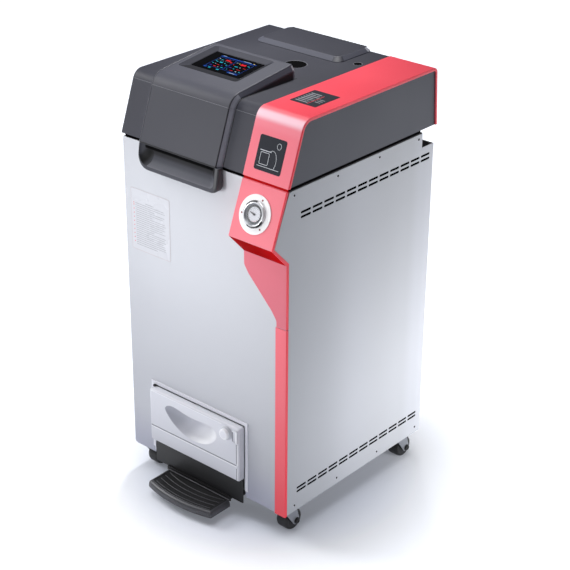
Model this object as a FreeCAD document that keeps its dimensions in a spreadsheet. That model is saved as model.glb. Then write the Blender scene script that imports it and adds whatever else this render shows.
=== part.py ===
import FreeCAD, Part
import Sketcher
import math
import os

# Vertical steam autoclave on four swivel casters: painted cabinet, hinged cover with
# the pressure lid, red console and band, gauge, bottle compartment, foot pedal.
# Frame: +Z up, floor at z = 0, -Y is the front, origin at the middle of the bounding
# box on the floor. Heights below are given from the cabinet's bottom edge and depths
# from the cabinet's front plane; FY and FZ carry them into the frame.

doc = FreeCAD.newDocument("SteamAutoclave")
sheet = doc.addObject("Spreadsheet::Sheet", "Dims")
V3 = FreeCAD.Vector

CELLS = [
    ("front_y", -213.5, "cabinet front plane in the frame"),
    ("floor_gap", 66.0, "cabinet bottom edge above the floor"),
    ("half_w", 243.0, "half cabinet width"),
    ("cab_d", 507.0, "cabinet depth"),
    ("cab_h", 800.0, "cabinet height to the cover seam"),
    ("sheet_t", 1.5, "panel sheet"),
    ("notch_y", 463.0, "front of the rear hinge notch"),
    ("notch_z", 763.0, "shelf of the rear hinge notch"),
    ("seam_gap", 6.0, "gap between cabinet and cover"),
    ("lid_z", 942.0, "cover top"),
    ("lid_rear", 513.8, "cover rear face at its bottom"),
    ("lid_left", -250.0, "cover left face"),
    ("crease_y", 43.3, "cover front crease"),
    ("crease_z", 923.5, "cover front crease"),
    ("lid_wall", 2.8, "cover wall"),
    ("band_x", 118.0, "left edge of the red band"),
    ("band_right", 245.0, "right face of the red band"),
    ("band_t", 1.2, "red sheet"),
    ("rim_w", 7.0, "band side rim"),
    ("pod_x", -184.0, "pod left base"),
    ("pod_right", 60.0, "pod right base"),
    ("pod_rear", 238.0, "pod rear"),
    ("pod_ch", 9.0, "pod edge bevel"),
    ("slot_len", 32.0, "louvre slot length"),
    ("slot_w", 3.5, "louvre slot width"),
    ("slot_pitch", 38.0, "louvre pitch"),
    ("slot_count", 12.0, "louvres in a row"),
    ("knee_y", -48.0, "console knee"),
    ("knee_z", 683.0, "console knee"),
    ("chin_z", 632.0, "foot of the console's underside"),
    ("strip_x", 212.0, "left edge of the corner strip"),
    ("strip_top", 479.0, "top of the corner strip"),
    ("gauge_x", 176.7, "gauge centre"),
    ("gauge_tilt", 68.96, "gauge axis from vertical"),
    ("plate_rad", 42.5, "gauge plate"),
    ("bezel_rad", 28.5, "gauge bezel outside"),
    ("dial_rad", 20.0, "gauge dial"),
    ("door_l", -166.4, "door left"),
    ("door_r", 121.0, "door right"),
    ("door_b", 49.5, "door bottom"),
    ("door_t", 191.0, "door top"),
    ("door_proud", 20.0, "door face in front of the panel"),
    ("pin_x", -162.0, "door pivot"),
    ("pin_y", -7.0, "door pivot"),
    ("pin_rad", 2.5, "door pivot pin"),
    ("tread_l", -129.0, "pedal left"),
    ("tread_r", 78.0, "pedal right"),
    ("tread_side", -72.0, "pedal front corner"),
    ("tread_tip", -88.0, "pedal front middle"),
    ("ped_piv_y", 110.0, "pedal pivot"),
    ("ped_piv_z", -20.0, "pedal pivot"),
    ("ped_rod", 5.0, "pedal pivot rod"),
    ("run_gap", 0.05, "running clearance"),
    ("cast_x", 210.0, "caster swivel"),
    ("cast_fy", 30.0, "front caster swivel"),
    ("cast_ry", 449.0, "rear caster swivel"),
    ("cast_trail", 21.0, "wheel trail"),
    ("wheel_rad", 27.0, "caster wheel"),
    ("wheel_half", 16.5, "half wheel width"),
    ("axle_rad", 4.0, "caster axle"),
    ("cham_y", 245.0, "chamber axis"),
    ("cham_rad", 160.0, "chamber inside"),
    ("cham_wall", 4.0, "chamber wall"),
    ("flange_rad", 188.0, "chamber flange"),
    ("flange_z", 805.0, "chamber flange top"),
    ("jacket_rad", 205.0, "insulation outside"),
    ("hinge_y", 485.0, "cover hinge axis"),
    ("hinge_z", 778.0, "cover hinge axis"),
    ("hinge_rad", 5.0, "cover hinge pin"),
    ("hook_x", -148.0, "latch and rod plane"),
    ("hook_y", 25.0, "latch pivot"),
    ("hook_z", 775.0, "latch pivot"),
    ("rod_y", 45.0, "release rod"),
    ("rod_rad", 4.0, "release rod"),
]
for i, (alias, value, note) in enumerate(CELLS):
    sheet.set("A%d" % (i + 1), note)
    sheet.set("B%d" % (i + 1), repr(value))
    sheet.setAlias("B%d" % (i + 1), alias)
doc.recompute()


class Q:
    """A size: its value and the expression over the sheet that gives it."""

    def __init__(self, v, e=None):
        self.v = float(v)
        self.e = e if e is not None else ("%.6g" % v if v >= 0 else "(%.6g)" % v)

    def __add__(self, o):
        o = q(o)
        return Q(self.v + o.v, "(%s + %s)" % (self.e, o.e))

    def __sub__(self, o):
        o = q(o)
        return Q(self.v - o.v, "(%s - %s)" % (self.e, o.e))

    def __mul__(self, o):
        o = q(o)
        return Q(self.v * o.v, "(%s * %s)" % (self.e, o.e))

    def __truediv__(self, o):
        o = q(o)
        return Q(self.v / o.v, "(%s / %s)" % (self.e, o.e))

    def __neg__(self):
        return Q(-self.v, "(0 - %s)" % self.e)


def q(x):
    return x if isinstance(x, Q) else Q(x)


class Dims:
    def __getattr__(self, name):
        return Q(float(sheet.get(name)), "Dims." + name)


D = Dims()
FY, FZ = D.front_y, D.floor_gap


def Y(v):
    return q(v) + FY


def Z(v):
    return q(v) + FZ


def bind(obj, prop, val):
    val = q(val)
    if "Dims." in val.e:
        obj.setExpression(prop, val.e)
    return val.v


def place(obj, x, y, z, axis=None, angle=0.0):
    x, y, z = q(x), q(y), q(z)
    rot = FreeCAD.Rotation(axis, q(angle).v) if axis else FreeCAD.Rotation()
    obj.Placement = FreeCAD.Placement(V3(x.v, y.v, z.v), rot)
    for key, val in (("x", x), ("y", y), ("z", z)):
        bind(obj, "Placement.Base." + key, val)
    return obj


def box(name, x0, x1, y0, y1, z0, z1):
    """Box between two planes each way, depths and heights from the cabinet's datum."""
    b = doc.addObject("Part::Box", name)
    for prop, lo, hi in (("Length", x0, x1), ("Width", y0, y1), ("Height", z0, z1)):
        d = q(hi) - q(lo)
        setattr(b, prop, d.v)
        bind(b, prop, d)
    return place(b, x0, Y(y0), Z(z0))


AX = {"X": (V3(0, 1, 0), 90), "Y": (V3(1, 0, 0), -90), "Z": (None, 0)}


def cyl(name, axis, x, y, z, rad, length):
    """Cylinder from a point of the cabinet's datum along +axis."""
    c = doc.addObject("Part::Cylinder", name)
    c.Radius = q(rad).v
    bind(c, "Radius", rad)
    c.Height = q(length).v
    bind(c, "Height", length)
    a, ang = AX[axis]
    return place(c, x, Y(y), Z(z), a, ang)


def cut(name, base, *tools):
    t = tools[0] if len(tools) == 1 else fuse(name + "_tool", *tools)
    c = doc.addObject("Part::Cut", name)
    c.Base, c.Tool = base, t
    return c


def fuse(name, *parts):
    f = doc.addObject("Part::MultiFuse", name)
    f.Shapes = list(parts)
    return f


def common(name, a, b):
    c = doc.addObject("Part::Common", name)
    c.Base, c.Tool = a, b
    return c


def group(name, *parts):
    c = doc.addObject("Part::Compound", name)
    c.Links = list(parts)
    return c


def rounded(name, base, rad, pick):
    """Part fillet on the edges whose midpoint and direction satisfy pick."""
    doc.recompute()
    f = doc.addObject("Part::Fillet", name)
    f.Base = base
    f.Edges = [(i + 1, rad, rad) for i, e in enumerate(base.Shape.Edges) if pick(e)]
    return f


def origin_plane(body, role):
    return [f for f in body.Origin.OriginFeatures if f.Role == role][0]


def sketch(body, name, role, loops):
    """Sketch of closed loops. A loop is a list of points, ("c", x, y, r), or ("s", x, y, len, w)."""
    sk = body.newObject("Sketcher::SketchObject", name)
    sk.AttachmentSupport = [(origin_plane(body, role), "")]
    sk.MapMode = "FlatFace"
    n = [0]

    def con(kind, *args):
        val = args[-1]
        k = sk.addConstraint(Sketcher.Constraint(kind, *(list(args[:-1]) + [val.v])))
        n[0] += 1
        nm = "k%d" % n[0]
        sk.renameConstraint(k, nm)
        if "Dims." in val.e:
            sk.setExpression("Constraints." + nm, val.e)

    for loop in loops:
        if loop[0] == "c":
            x, y, r = (q(v) for v in loop[1:])
            g = sk.addGeometry(Part.Circle(V3(x.v, y.v, 0), V3(0, 0, 1), r.v), False)
            con("DistanceX", -1, 1, g, 3, x)
            con("DistanceY", -1, 1, g, 3, y)
            con("Radius", g, r)
            continue
        pts = [(q(a), q(b)) for a, b in loop]
        first = sk.GeometryCount
        for i, (a, b) in enumerate(pts):
            c, d = pts[(i + 1) % len(pts)]
            sk.addGeometry(Part.LineSegment(V3(a.v, b.v, 0), V3(c.v, d.v, 0)), False)
        for i in range(len(pts)):
            sk.addConstraint(Sketcher.Constraint("Coincident", first + i, 2, first + (i + 1) % len(pts), 1))
        for i, (a, b) in enumerate(pts):
            con("DistanceX", -1, 1, first + i, 1, a)
            con("DistanceY", -1, 1, first + i, 1, b)
    return sk


def new_body(name):
    return doc.addObject("PartDesign::Body", name)


def pad(body, sk, length, name="Pad", rev=False):
    p = body.newObject("PartDesign::Pad", name)
    p.Profile = sk
    p.Length = q(length).v
    bind(p, "Length", length)
    p.Reversed = rev
    sk.Visibility = False
    return p


def prism(name, role, loops, length, at, rev=False):
    """Body padded from one sketch. XZ pads towards +Y with rev, YZ towards +X, XY towards +Z."""
    b = new_body(name)
    sk = sketch(b, name + "_sketch", role, loops)
    pad(b, sk, length, name + "_pad", rev)
    place(b, *at)
    return b


def rect(a0, a1, b0, b1):
    return [(a0, b0), (a1, b0), (a1, b1), (a0, b1)]


def revolve(name, pts, x, y):
    """Body turned about a vertical axis from a radius-height outline."""
    b = new_body(name)
    sk = sketch(b, name + "_sketch", "XZ_Plane", [pts])
    r = b.newObject("PartDesign::Revolution", name + "_rev")
    r.Profile = sk
    r.ReferenceAxis = (sk, ["V_Axis"])
    r.Angle = 360.0
    place(b, x, Y(y), Z(0))
    return b


NODES = []


def keep(obj, label):
    obj.Label = label
    NODES.append(obj)
    return obj


HW, ST, CD, CH = D.half_w, D.sheet_t, D.cab_d, D.cab_h
INX = HW - ST - 0.1          # inside of the side panels
TINY = 0.1

# ---- cabinet sheet metal ------------------------------------------------------------

keep(cut("BaseTray",
         box("tray_out", -240, 240, 3, 504, 6, 18.8),
         box("tray_in", -238, 238, 5, 502, 8.5, 30),
         cyl("tray_rod_hole", "Z", D.hook_x, D.rod_y, 0, 8, 20),
         cyl("tray_drain_hole", "Z", 0, D.cham_y, 0, 14, 20),
         *[cyl("tray_pin_hole_%d" % i, "Z", sx, sy, 0, 8, 20) for i, (sx, sy) in enumerate(
             [(-D.cast_x, D.cast_fy), (D.cast_x, D.cast_fy), (-D.cast_x, D.cast_ry), (D.cast_x, D.cast_ry)])]),
     "base_tray")

# Front panel: one flat sheet with a notch for the bottle compartment and the pedal skirt.
fp = prism("FrontPanel", "XZ_Plane",
           [[(-HW, 0), (-171.2, 0), (-171.2, 192), (121.4, 192), (121.4, 0), (INX, 0), (INX, CH), (-HW, CH)],
            ("c", D.gauge_x, 735, 46)],
           ST, (0, Y(0), Z(0)), rev=True)
keep(rounded("FrontPanelRounded", fp, 5.0,
             lambda e: abs(e.CenterOfMass.x + HW.v) < 0.5 and abs(e.CenterOfMass.z - FZ.v) < 0.5
             and abs(e.tangentAt(e.FirstParameter).y) > 0.9), "front_panel")


def side_panel(name, label, outline, x):
    b = new_body(name)
    pad(b, sketch(b, name + "_sketch", "YZ_Plane", [outline]), ST, name + "_pad")
    doc.recompute()
    feats = []
    for k, zrow in enumerate((741.6, 730.8, 59.4, 49.8)):
        y0 = 42.5 if k < 2 else 39.0
        loop = rect(q(y0), q(y0) + D.slot_len, q(zrow) - D.slot_w / 2, q(zrow) + D.slot_w / 2)
        sk = sketch(b, "%s_slot%d" % (name, k), "YZ_Plane", [loop])
        p = b.newObject("PartDesign::Pocket", "%s_pocket%d" % (name, k))
        p.Profile = sk
        p.Type = 1
        p.Reversed = True
        p.Midplane = False
        doc.recompute()
        lp = b.newObject("PartDesign::LinearPattern", "%s_row%d" % (name, k))
        lp.Originals = [p]
        lp.Direction = (sk, ["H_Axis"])
        lp.Length = (D.slot_pitch * (D.slot_count - 1)).v
        bind(lp, "Length", D.slot_pitch * (D.slot_count - 1))
        lp.Occurrences = int(D.slot_count.v)
        b.Tip = lp
        doc.recompute()
        feats.append(lp)
    place(b, x, Y(0), Z(0))
    return keep(b, label)


side_panel("LeftSide", "left_side_panel",
           [(ST + TINY, 0), (CD, 0), (CD, D.notch_z), (D.notch_y, D.notch_z), (D.notch_y, CH), (ST + TINY, CH)], -HW)
side_panel("RightSide", "right_side_panel",
           [(6.3, 0), (CD, 0), (CD, D.notch_z), (D.notch_y, D.notch_z), (D.notch_y, CH),
            (4.2, CH), (D.knee_y + 8.0, D.knee_z + 1.0), (6.3, 636.5)], HW - ST)

# Rear panel with two banks of vents, an inlet cut-out and a drain hole.
rp = new_body("RearPanel")
pad(rp, sketch(rp, "RearPanel_sketch", "XZ_Plane",
               [rect(-INX, INX, 0, D.notch_z - 2.2), rect(150, 198, 100, 132), ("c", -60, 60, 20)]),
    ST, "RearPanel_pad", rev=True)
doc.recompute()
rsk = sketch(rp, "RearPanel_vent", "XZ_Plane", [rect(-170, -90, 300, 304), rect(90, 170, 300, 304)])
rpk = rp.newObject("PartDesign::Pocket", "RearPanel_pocket")
rpk.Profile = rsk
rpk.Type = 1
rpk.Midplane = True
doc.recompute()
rlp = rp.newObject("PartDesign::LinearPattern", "RearPanel_vents")
rlp.Originals = [rpk]
rlp.Direction = (rsk, ["V_Axis"])
rlp.Length = 240.0
rlp.Occurrences = 16
rp.Tip = rlp
place(rp, 0, Y(CD - ST), Z(0))
keep(rp, "rear_panel")

# Deck: folded black sheet with the step for the hinge, a neck rim and the mouth hole.
deck = prism("DeckFold", "YZ_Plane",
             [[(ST + TINY, CH - 0.5), (D.notch_y, CH - 0.5), (D.notch_y, D.notch_z), (505.4, D.notch_z),
               (505.4, D.notch_z - 2), (D.notch_y - 2, D.notch_z - 2), (D.notch_y - 2, CH - 2.5), (ST + TINY, CH - 2.5)]],
             INX * 2, (-INX, Y(0), Z(0)))
neck = cut("DeckNeck", box("neck_out", -236, 236, 8, 461, CH - 0.5, CH + 6), box("neck_in", -234, 234, 10, 459, CH - 1, CH + 7))
HX, HY, HZ, RY = D.hook_x, D.hook_y, D.hook_z, D.rod_y
deck_open = cut("DeckOpen", fuse("DeckBoth", deck, neck),
                cyl("deck_mouth", "Z", 0, D.cham_y, CH - 5, 192, 10),
                box("deck_hook_slot", HX - 15, HX - 4, 14, 46, CH - 5, CH + 3))
# Welded under it: the cheek that carries the latch's pivot stud.
keep(fuse("TopDeck", deck_open, cyl("hook_pivot", "X", HX - 22, HY, HZ, 4, 19),
          box("hook_cheek", HX - 24, HX - 20, HY - 10, HY + 10, HZ - 10, CH - 2),
          box("hook_foot", HX - 34, HX - 20, HY - 10, HY + 10, CH - 5.5, CH - 2)), "top_deck")

# ---- red console, corner strip, gauge ----------------------------------------------

GA = (V3(1, 0, 0), D.gauge_tilt)
CA, SA = math.cos(math.radians(D.gauge_tilt.v)), math.sin(math.radians(D.gauge_tilt.v))


def on_face(obj, n, e1=0.0, e2=0.0):
    """Places an object on the console's face: n out of it, e1 to the right, e2 up the face."""
    x = D.gauge_x + e1
    y = Y(-25.96) + (e2 * CA - n * SA)
    z = Z(740.4) + (e2 * SA + n * CA)
    return place(obj, x, y, z, *GA)


def face_cyl(name, rad, n0, n1, e1=0.0, e2=0.0):
    c = doc.addObject("Part::Cylinder", name)
    c.Radius = q(rad).v
    bind(c, "Radius", rad)
    c.Height = n1 - n0
    return on_face(c, n0, e1, e2)


wedge = prism("ConsoleOut", "YZ_Plane", [[(6.2, CH), (-3, CH), (D.knee_y, D.knee_z), (0, D.chin_z), (6.2, D.chin_z)]],
              HW - 120, (120, Y(0), Z(0)))
wedge_in = prism("ConsoleIn", "YZ_Plane",
                 [[(9, CH - 1.2), (-1.6, CH - 1.2), (D.knee_y + 1.9, D.knee_z + 0.2), (0, D.chin_z + 1.6), (9, D.chin_z + 1.6)]],
                 HW - 122.4, (121.2, Y(0), Z(0)))
win = prism("ConsoleWindow", "YZ_Plane",
            [[(9, CH + 2), (3.9, CH + 2), (D.knee_y + 7.7, D.knee_z + 1.0), (6.25, 635.6), (9, 635.6)]], 6, (HW - 3, Y(0), Z(0)))
gauge_hole = face_cyl("console_gauge_hole", 26.0, -32, 6)
console_skin = cut("ConsoleSkin", wedge, wedge_in, win, gauge_hole, box("console_back", 119, HW - 1.4, 0, 9, 620, 810))
apron = prism("ConsoleApron", "XZ_Plane",
              [[(121.6, 632.0), (121.6, 604), (127, 592), (137.8, 578), (201, 513), (209.5, 500), (214.6, 479.5),
                (HW, 479.5), (HW, 632.0)]], 1.2, (0, Y(-1.2), Z(0)), rev=True)
apron_rim = box("apron_rim", HW - 1.2, HW, -1.2, 6.2, 479.5, 635.0)
apron_cap = box("apron_cap", 121.6, HW, -1.2, 0, 631.2, 635)
keep(fuse("Console", console_skin, apron, apron_rim, apron_cap), "console_panel")

keep(fuse("CornerStrip", box("strip_front", D.strip_x, HW, -1.2, 0, -1.9, D.strip_top),
          box("strip_side", HW - 1.2, HW, -1.2, 6.2, -1.9, D.strip_top)), "corner_strip")

screws = [(35 * math.sin(math.radians(a)), 35 * math.cos(math.radians(a))) for a in (20, 140, 260)]
keep(cut("GaugePlate", face_cyl("plate_disc", D.plate_rad, 0.02, 1.8), face_cyl("plate_bore", 25.7, -1, 3),
         *[face_cyl("plate_hole_%d" % i, 1.9, 0.9, 3, a, b) for i, (a, b) in enumerate(screws)]), "gauge_plate")
keep(cut("GaugeCase",
         fuse("case_solid", face_cyl("case_body", 25.5, -26, 2.5), face_cyl("case_ring", D.bezel_rad, 1.85, 8)),
         face_cyl("case_well", D.dial_rad + 0.6, 2.5, 9), face_cyl("case_bore", 2.5, -20, 3)), "gauge_case")
keep(cut("GaugeDial", face_cyl("dial_disc", D.dial_rad, 2.52, 3.2), face_cyl("dial_bore", 2.5, 2, 4)), "gauge_dial")
needle = doc.addObject("Part::Box", "needle_bar")
needle.Length, needle.Width, needle.Height = 17.0, 1.2, 0.5
ang = 165.0
needle.Placement = FreeCAD.Placement(V3(D.gauge_x.v, Y(-25.96).v, Z(740.4).v), FreeCAD.Rotation(V3(1, 0, 0), D.gauge_tilt.v)).multiply(
    FreeCAD.Placement(V3(0, 0, 3.9), FreeCAD.Rotation(V3(0, 0, 1), ang))).multiply(FreeCAD.Placement(V3(-4, -0.6, 0), FreeCAD.Rotation()))
keep(fuse("GaugeNeedle", needle, face_cyl("needle_hub", 2.2, 3.6, 4.9), face_cyl("needle_arbor", 1.2, -4, 3.7)), "gauge_needle")
keep(face_cyl("GaugeGlass", D.dial_rad + 0.5, 5.6, 7.0), "gauge_glass")

keep(box("FrontCard", -224, -102, -0.5, 0, 531.5, 683.5), "front_card")

# ---- bottle compartment --------------------------------------------------------------

lip = cut("LipRing", box("lip_out", -177, 130, -2, 0, 18, 200), box("lip_in", -169, 122, -3, 1, 10, 192))
keep(fuse("DoorFrame", lip,
          box("pivot_ear_low", D.pin_x - 6, D.pin_x + 6, -12, 0.02, 44, 48.5),
          box("pivot_ear_top", D.pin_x - 6, D.pin_x + 6, -12, 0.02, 192, 197),
          cyl("pivot_low", "Z", D.pin_x, D.pin_y, 46, D.pin_rad, 14),
          cyl("pivot_top", "Z", D.pin_x, D.pin_y, 182, D.pin_rad, 12),
          box("ear_web", -169.5, D.pin_x, -2, 0, 44, 48.5)), "door_frame")

slab = rounded("DoorSlab", box("slab_box", D.door_l, D.door_r, -D.door_proud, -2, D.door_b, D.door_t), 4.0,
               lambda e: abs(e.CenterOfMass.y - (FY.v - 20)) < 0.2)
scoop = doc.addObject("Part::Ellipsoid", "door_scoop")
scoop.Radius1, scoop.Radius2, scoop.Radius3 = 32.5, 82.0, 14.0
place(scoop, -32, Y(-21), Z(135.5), V3(0, 0, 1), 0)
keep(cut("DoorBlank", slab, scoop,
         box("door_groove", -170, 125, -21, -18.2, 91.5, 93.7),
         box("door_groove_v", 112.6, 114.6, -21, -18.2, 45, 146),
         cyl("door_pin_low", "Z", D.pin_x, D.pin_y, 40, D.pin_rad + D.run_gap, 22),
         cyl("door_pin_top", "Z", D.pin_x, D.pin_y, 180, D.pin_rad + D.run_gap, 22),
         cyl("door_knob_bore", "Y", 83, -25, 169, 4 + 0.05, 30)), "compartment_door")
keep(fuse("DoorKnob", cyl("knob_head", "Y", 83, -33.5, 169, 13.2, 8.0), cyl("knob_collar", "Y", 83, -25.8, 169, 17.6, 5.5),
          cyl("knob_shaft", "Y", 83, -20.5, 169, 4, 21.5), box("knob_cam", 79, 87, 0.5, 3, 165, 186)), "door_knob")
keep(rounded("LatchPlate", prism("latch_plate_body", "XZ_Plane", [[(102.6, 155), (108.5, 149), (118.5, 152.5), (118.5, 187), (102.6, 183)]],
                                 5, (0, Y(-25.05), Z(0)), rev=True), 1.5,
             lambda e: abs(e.CenterOfMass.y - (FY.v - 25.05)) < 0.2), "latch_plate")

liner = cut("Liner", box("liner_out", -169, 121, 0, 150, 19, 192), box("liner_in", -120, 118, -1, 148.5, 21, 190),
            box("liner_left", -167.5, -121.5, 14, 200, 10, 195), box("liner_knob", -168, -119, -1, 12.5, 21, 190),
            box("liner_pivot", -171, -150, -1, 3.5, 40, 196))
keep(liner, "compartment_liner")
keep(rounded("DrainBottle", fuse("bottle_solid", box("bottle_body", -80, 60, 30, 130, 21.02, 150),
                                 cyl("bottle_neck", "Z", -10, 80, 150, 18, 12), cyl("bottle_cap", "Z", -10, 80, 160, 21, 16)), 10.0,
             lambda e: abs(e.tangentAt(e.FirstParameter).z) > 0.99 and e.Length > 100), "drain_bottle")

# ---- pedal ---------------------------------------------------------------------------

keep(fuse("PedalSkirt", box("skirt_plate", -168.9, 115.5, -1.4, -0.02, -20, 43.8),
          box("skirt_fold", -168.9, 115.5, -0.5, 5, 2, 5.98)), "pedal_skirt")

tb = new_body("PedalTread")
tsk = tb.newObject("Sketcher::SketchObject", "PedalTread_sketch")
tsk.AttachmentSupport = [(origin_plane(tb, "XY_Plane"), "")]
tsk.MapMode = "FlatFace"
TL, TR, TS, TT = D.tread_l.v, D.tread_r.v, D.tread_side.v, D.tread_tip.v
REAR = -5.0
tsk.addGeometry(Part.LineSegment(V3(TL, REAR, 0), V3(TL, TS, 0)), False)
tsk.addGeometry(Part.Arc(V3(TL, TS, 0), V3((TL + TR) / 2, TT, 0), V3(TR, TS, 0)), False)
tsk.addGeometry(Part.LineSegment(V3(TR, TS, 0), V3(TR, REAR, 0)), False)
tsk.addGeometry(Part.LineSegment(V3(TR, REAR, 0), V3(TL, REAR, 0)), False)
arc_l = 1 if tsk.Geometry[1].StartPoint.x < tsk.Geometry[1].EndPoint.x else 2
arc_r = 3 - arc_l
tsk.addConstraint(Sketcher.Constraint("Coincident", 0, 2, 1, arc_l))
tsk.addConstraint(Sketcher.Constraint("Coincident", 1, arc_r, 2, 1))
tsk.addConstraint(Sketcher.Constraint("Coincident", 2, 2, 3, 1))
tsk.addConstraint(Sketcher.Constraint("Coincident", 3, 2, 0, 1))
for kind, g, pnt, val in (("DistanceX", 0, 1, D.tread_l), ("DistanceY", 0, 1, Q(REAR)), ("DistanceX", 0, 2, D.tread_l),
                          ("DistanceY", 0, 2, D.tread_side), ("DistanceX", 2, 1, D.tread_r), ("DistanceY", 2, 1, D.tread_side),
                          ("DistanceX", 2, 2, D.tread_r), ("DistanceY", 2, 2, Q(REAR))):
    k = tsk.addConstraint(Sketcher.Constraint(kind, -1, 1, g, pnt, val.v))
    if "Dims." in val.e:
        tsk.renameConstraint(k, "t%d" % k)
        tsk.setExpression("Constraints.t%d" % k, val.e)
HALF = (D.tread_r - D.tread_l) / 2
SAG = D.tread_side - D.tread_tip
RAD = (HALF * HALF + SAG * SAG) / (SAG * 2)
k = tsk.addConstraint(Sketcher.Constraint("Radius", 1, RAD.v))
tsk.renameConstraint(k, "bow")
tsk.setExpression("Constraints.bow", RAD.e)
pad(tb, tsk, 16.0, "PedalTread_pad")
place(tb, 0, Y(0), Z(-43))
keep(rounded("PedalTreadRounded", tb, 7.0,
             lambda e: abs(e.tangentAt(e.FirstParameter).z) > 0.99 and e.CenterOfMass.y < FY.v - 30), "pedal_tread")

PY, PZ = D.ped_piv_y, D.ped_piv_z
arm_pts = [(REAR + 0.02, -42), (REAR + 0.02, -30), (94, -30), (103, PZ + 8), (118, PZ + 8), (118, PZ - 8), (100, -42)]


def arm(name, x):
    return prism(name, "YZ_Plane", [arm_pts], 8, (x, Y(0), Z(0)))


keep(cut("PedalLever",
         fuse("lever_solid", arm("lever_arm_left", -110), arm("lever_arm_right", 51),
              box("lever_cross", -156, 59, D.rod_y - 8, D.rod_y + 8, -41, -31),
              cyl("lever_tube", "X", -112, PY, PZ, 8, 173)),
         cyl("lever_bore", "X", -140, PY, PZ, D.ped_rod + D.run_gap, 240),
         cyl("lever_rod_hole", "Z", D.hook_x, D.rod_y, -50, D.rod_rad + 3.0, 30)), "pedal_lever")
keep(fuse("PedalBrackets",
          *([box("bracket_%d" % i, x, x + 4, PY - 14, PY + 14, -31, 5.98) for i, x in enumerate((-124, 70))]
            + [cyl("pedal_pivot_rod", "X", -128, PY, PZ, D.ped_rod, 206)])), "pedal_pivot")

# ---- release rod and latch -----------------------------------------------------------

eye = cut("rod_eye", box("rod_eye_block", HX - 4, HX + 4, RY - 6, RY + 6, HZ - 12, HZ + 8),
          box("rod_eye_slot", HX - 5, HX + 5, RY - 3.6, RY + 3.6, HZ - 4.2, HZ + 4.2))
keep(fuse("ReleaseRod", cyl("rod_bar", "Z", HX, RY, -49, D.rod_rad, HZ + 49 - 11),
          cyl("rod_nut", "Z", HX, RY, -49, 9, 6.5), eye), "release_rod")
hook_pts = [(HY - 7, HZ - 7), (HY + 6, HZ - 7), (HY + 6, HZ + 8), (HY + 9, CH - 2), (HY + 9, CH + 7.6),
            (HY + 3.5, CH + 7.6), (HY + 3.5, CH + 6.2), (HY + 5.0, CH + 5.0), (HY + 4.0, CH - 2), (HY - 7, HZ + 8)]
hook = prism("hook_plate", "YZ_Plane", [hook_pts], 6, (HX - 12.5, Y(0), Z(0)))
crank = box("hook_crank", HX - 12.5, HX - 6.5, HY, RY + 4, HZ - 4, HZ + 4)
keep(cut("LatchHook", fuse("hook_solid", hook, crank, cyl("hook_crank_pin", "X", HX - 7, RY, HZ, 2, 12)),
         cyl("hook_bore", "X", HX - 20, HY, HZ, 4.05, 20)), "latch_hook")

# ---- chamber -------------------------------------------------------------------------

R0, R1, FL = D.cham_rad, D.cham_rad + D.cham_wall, D.flange_z


def staves(name, ring, z0, z1):
    """The ring in 18 welded segments about the chamber's axis."""
    out = []
    for i in range(18):
        w = doc.addObject("Part::Cylinder", "%s_wedge_%d" % (name, i))
        w.Radius, w.Height, w.Angle = 240.0, z1 - z0, 20.0
        place(w, 0, Y(D.cham_y), Z(z0), V3(0, 0, 1), 5.0 + 20.0 * i)
        out.append(common("%s_stave_%d" % (name, i), ring, w))
    return out


shell_ring = revolve("VesselRing", [(R1 - 3.7, 286), (R1, 300), (R1, FL - 13), (D.flange_rad, FL - 13), (D.flange_rad, FL), (R0, FL), (R0, 304),
                                    (R0 - 5.4, 286)], 0, D.cham_y)
dish = revolve("VesselDish", [(0, 240), (120, 246), (R1 - 8, 268), (R1 - 3.7, 286), (R0 - 5.4, 286), (R0 - 8, 276), (118, 252), (0, 246)], 0, D.cham_y)
keep(group("ChamberVessel", dish, *staves("vessel", shell_ring, 280, 810)), "chamber_vessel")
jacket_ring = revolve("JacketRing", [(R1 + 2, 256), (D.jacket_rad, 256), (D.jacket_rad, FL - 13.02), (R1 + 2, FL - 13.02)], 0, D.cham_y)
keep(group("InsulationJacket", *staves("jacket", jacket_ring, 250, 800)), "insulation_jacket")
keep(cut("VesselStand",
         fuse("stand_solid", box("stand_plate", -214, 214, 78, 412, 250, 255.98),
              *[box("stand_leg_%d" % i, x, x + 18, y, y + 18, 8.52, 250.02) for i, (x, y) in enumerate(
                  [(-214, 100), (196, 100), (-214, 372), (196, 372)])]),
         cyl("stand_hole", "Z", 0, D.cham_y, 240, 158, 30)), "vessel_stand")
torus = doc.addObject("Part::Torus", "heater_ring")
torus.Radius1, torus.Radius2 = 110.0, 5.0
place(torus, 0, Y(D.cham_y), Z(262))
keep(fuse("HeaterElement", torus, cyl("heater_leg_a", "Z", 110, D.cham_y - 14, 252.3, 4, 10),
          cyl("heater_leg_b", "Z", 110, D.cham_y + 14, 252.3, 4, 10)), "heater_element")
sp = new_body("SupportPlate")
pad(sp, sketch(sp, "SupportPlate_sketch", "XY_Plane", [("c", 0, 0, 154.0)]), 2.0, "SupportPlate_pad")
doc.recompute()
for ring, rr, count in (("a", 40, 6), ("b", 80, 12), ("c", 120, 18)):
    ssk = sketch(sp, "SupportPlate_hole_" + ring, "XY_Plane", [("c", rr, 0, 8)])
    spk = sp.newObject("PartDesign::Pocket", "SupportPlate_pocket_" + ring)
    spk.Profile = ssk
    spk.Type = 1
    spk.Midplane = True
    doc.recompute()
    spp = sp.newObject("PartDesign::PolarPattern", "SupportPlate_polar_" + ring)
    spp.Originals = [spk]
    spp.Axis = (ssk, ["N_Axis"])
    spp.Angle = 360.0
    spp.Occurrences = count
    sp.Tip = spp
    doc.recompute()
place(sp, 0, Y(D.cham_y), Z(285.0))
keep(sp, "support_plate")
bk = revolve("WireBasket", [(146.5, 287.1), (148, 287.1), (148, 552), (151, 552), (151, 556), (146.5, 556)], 0, D.cham_y)
doc.recompute()
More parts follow.
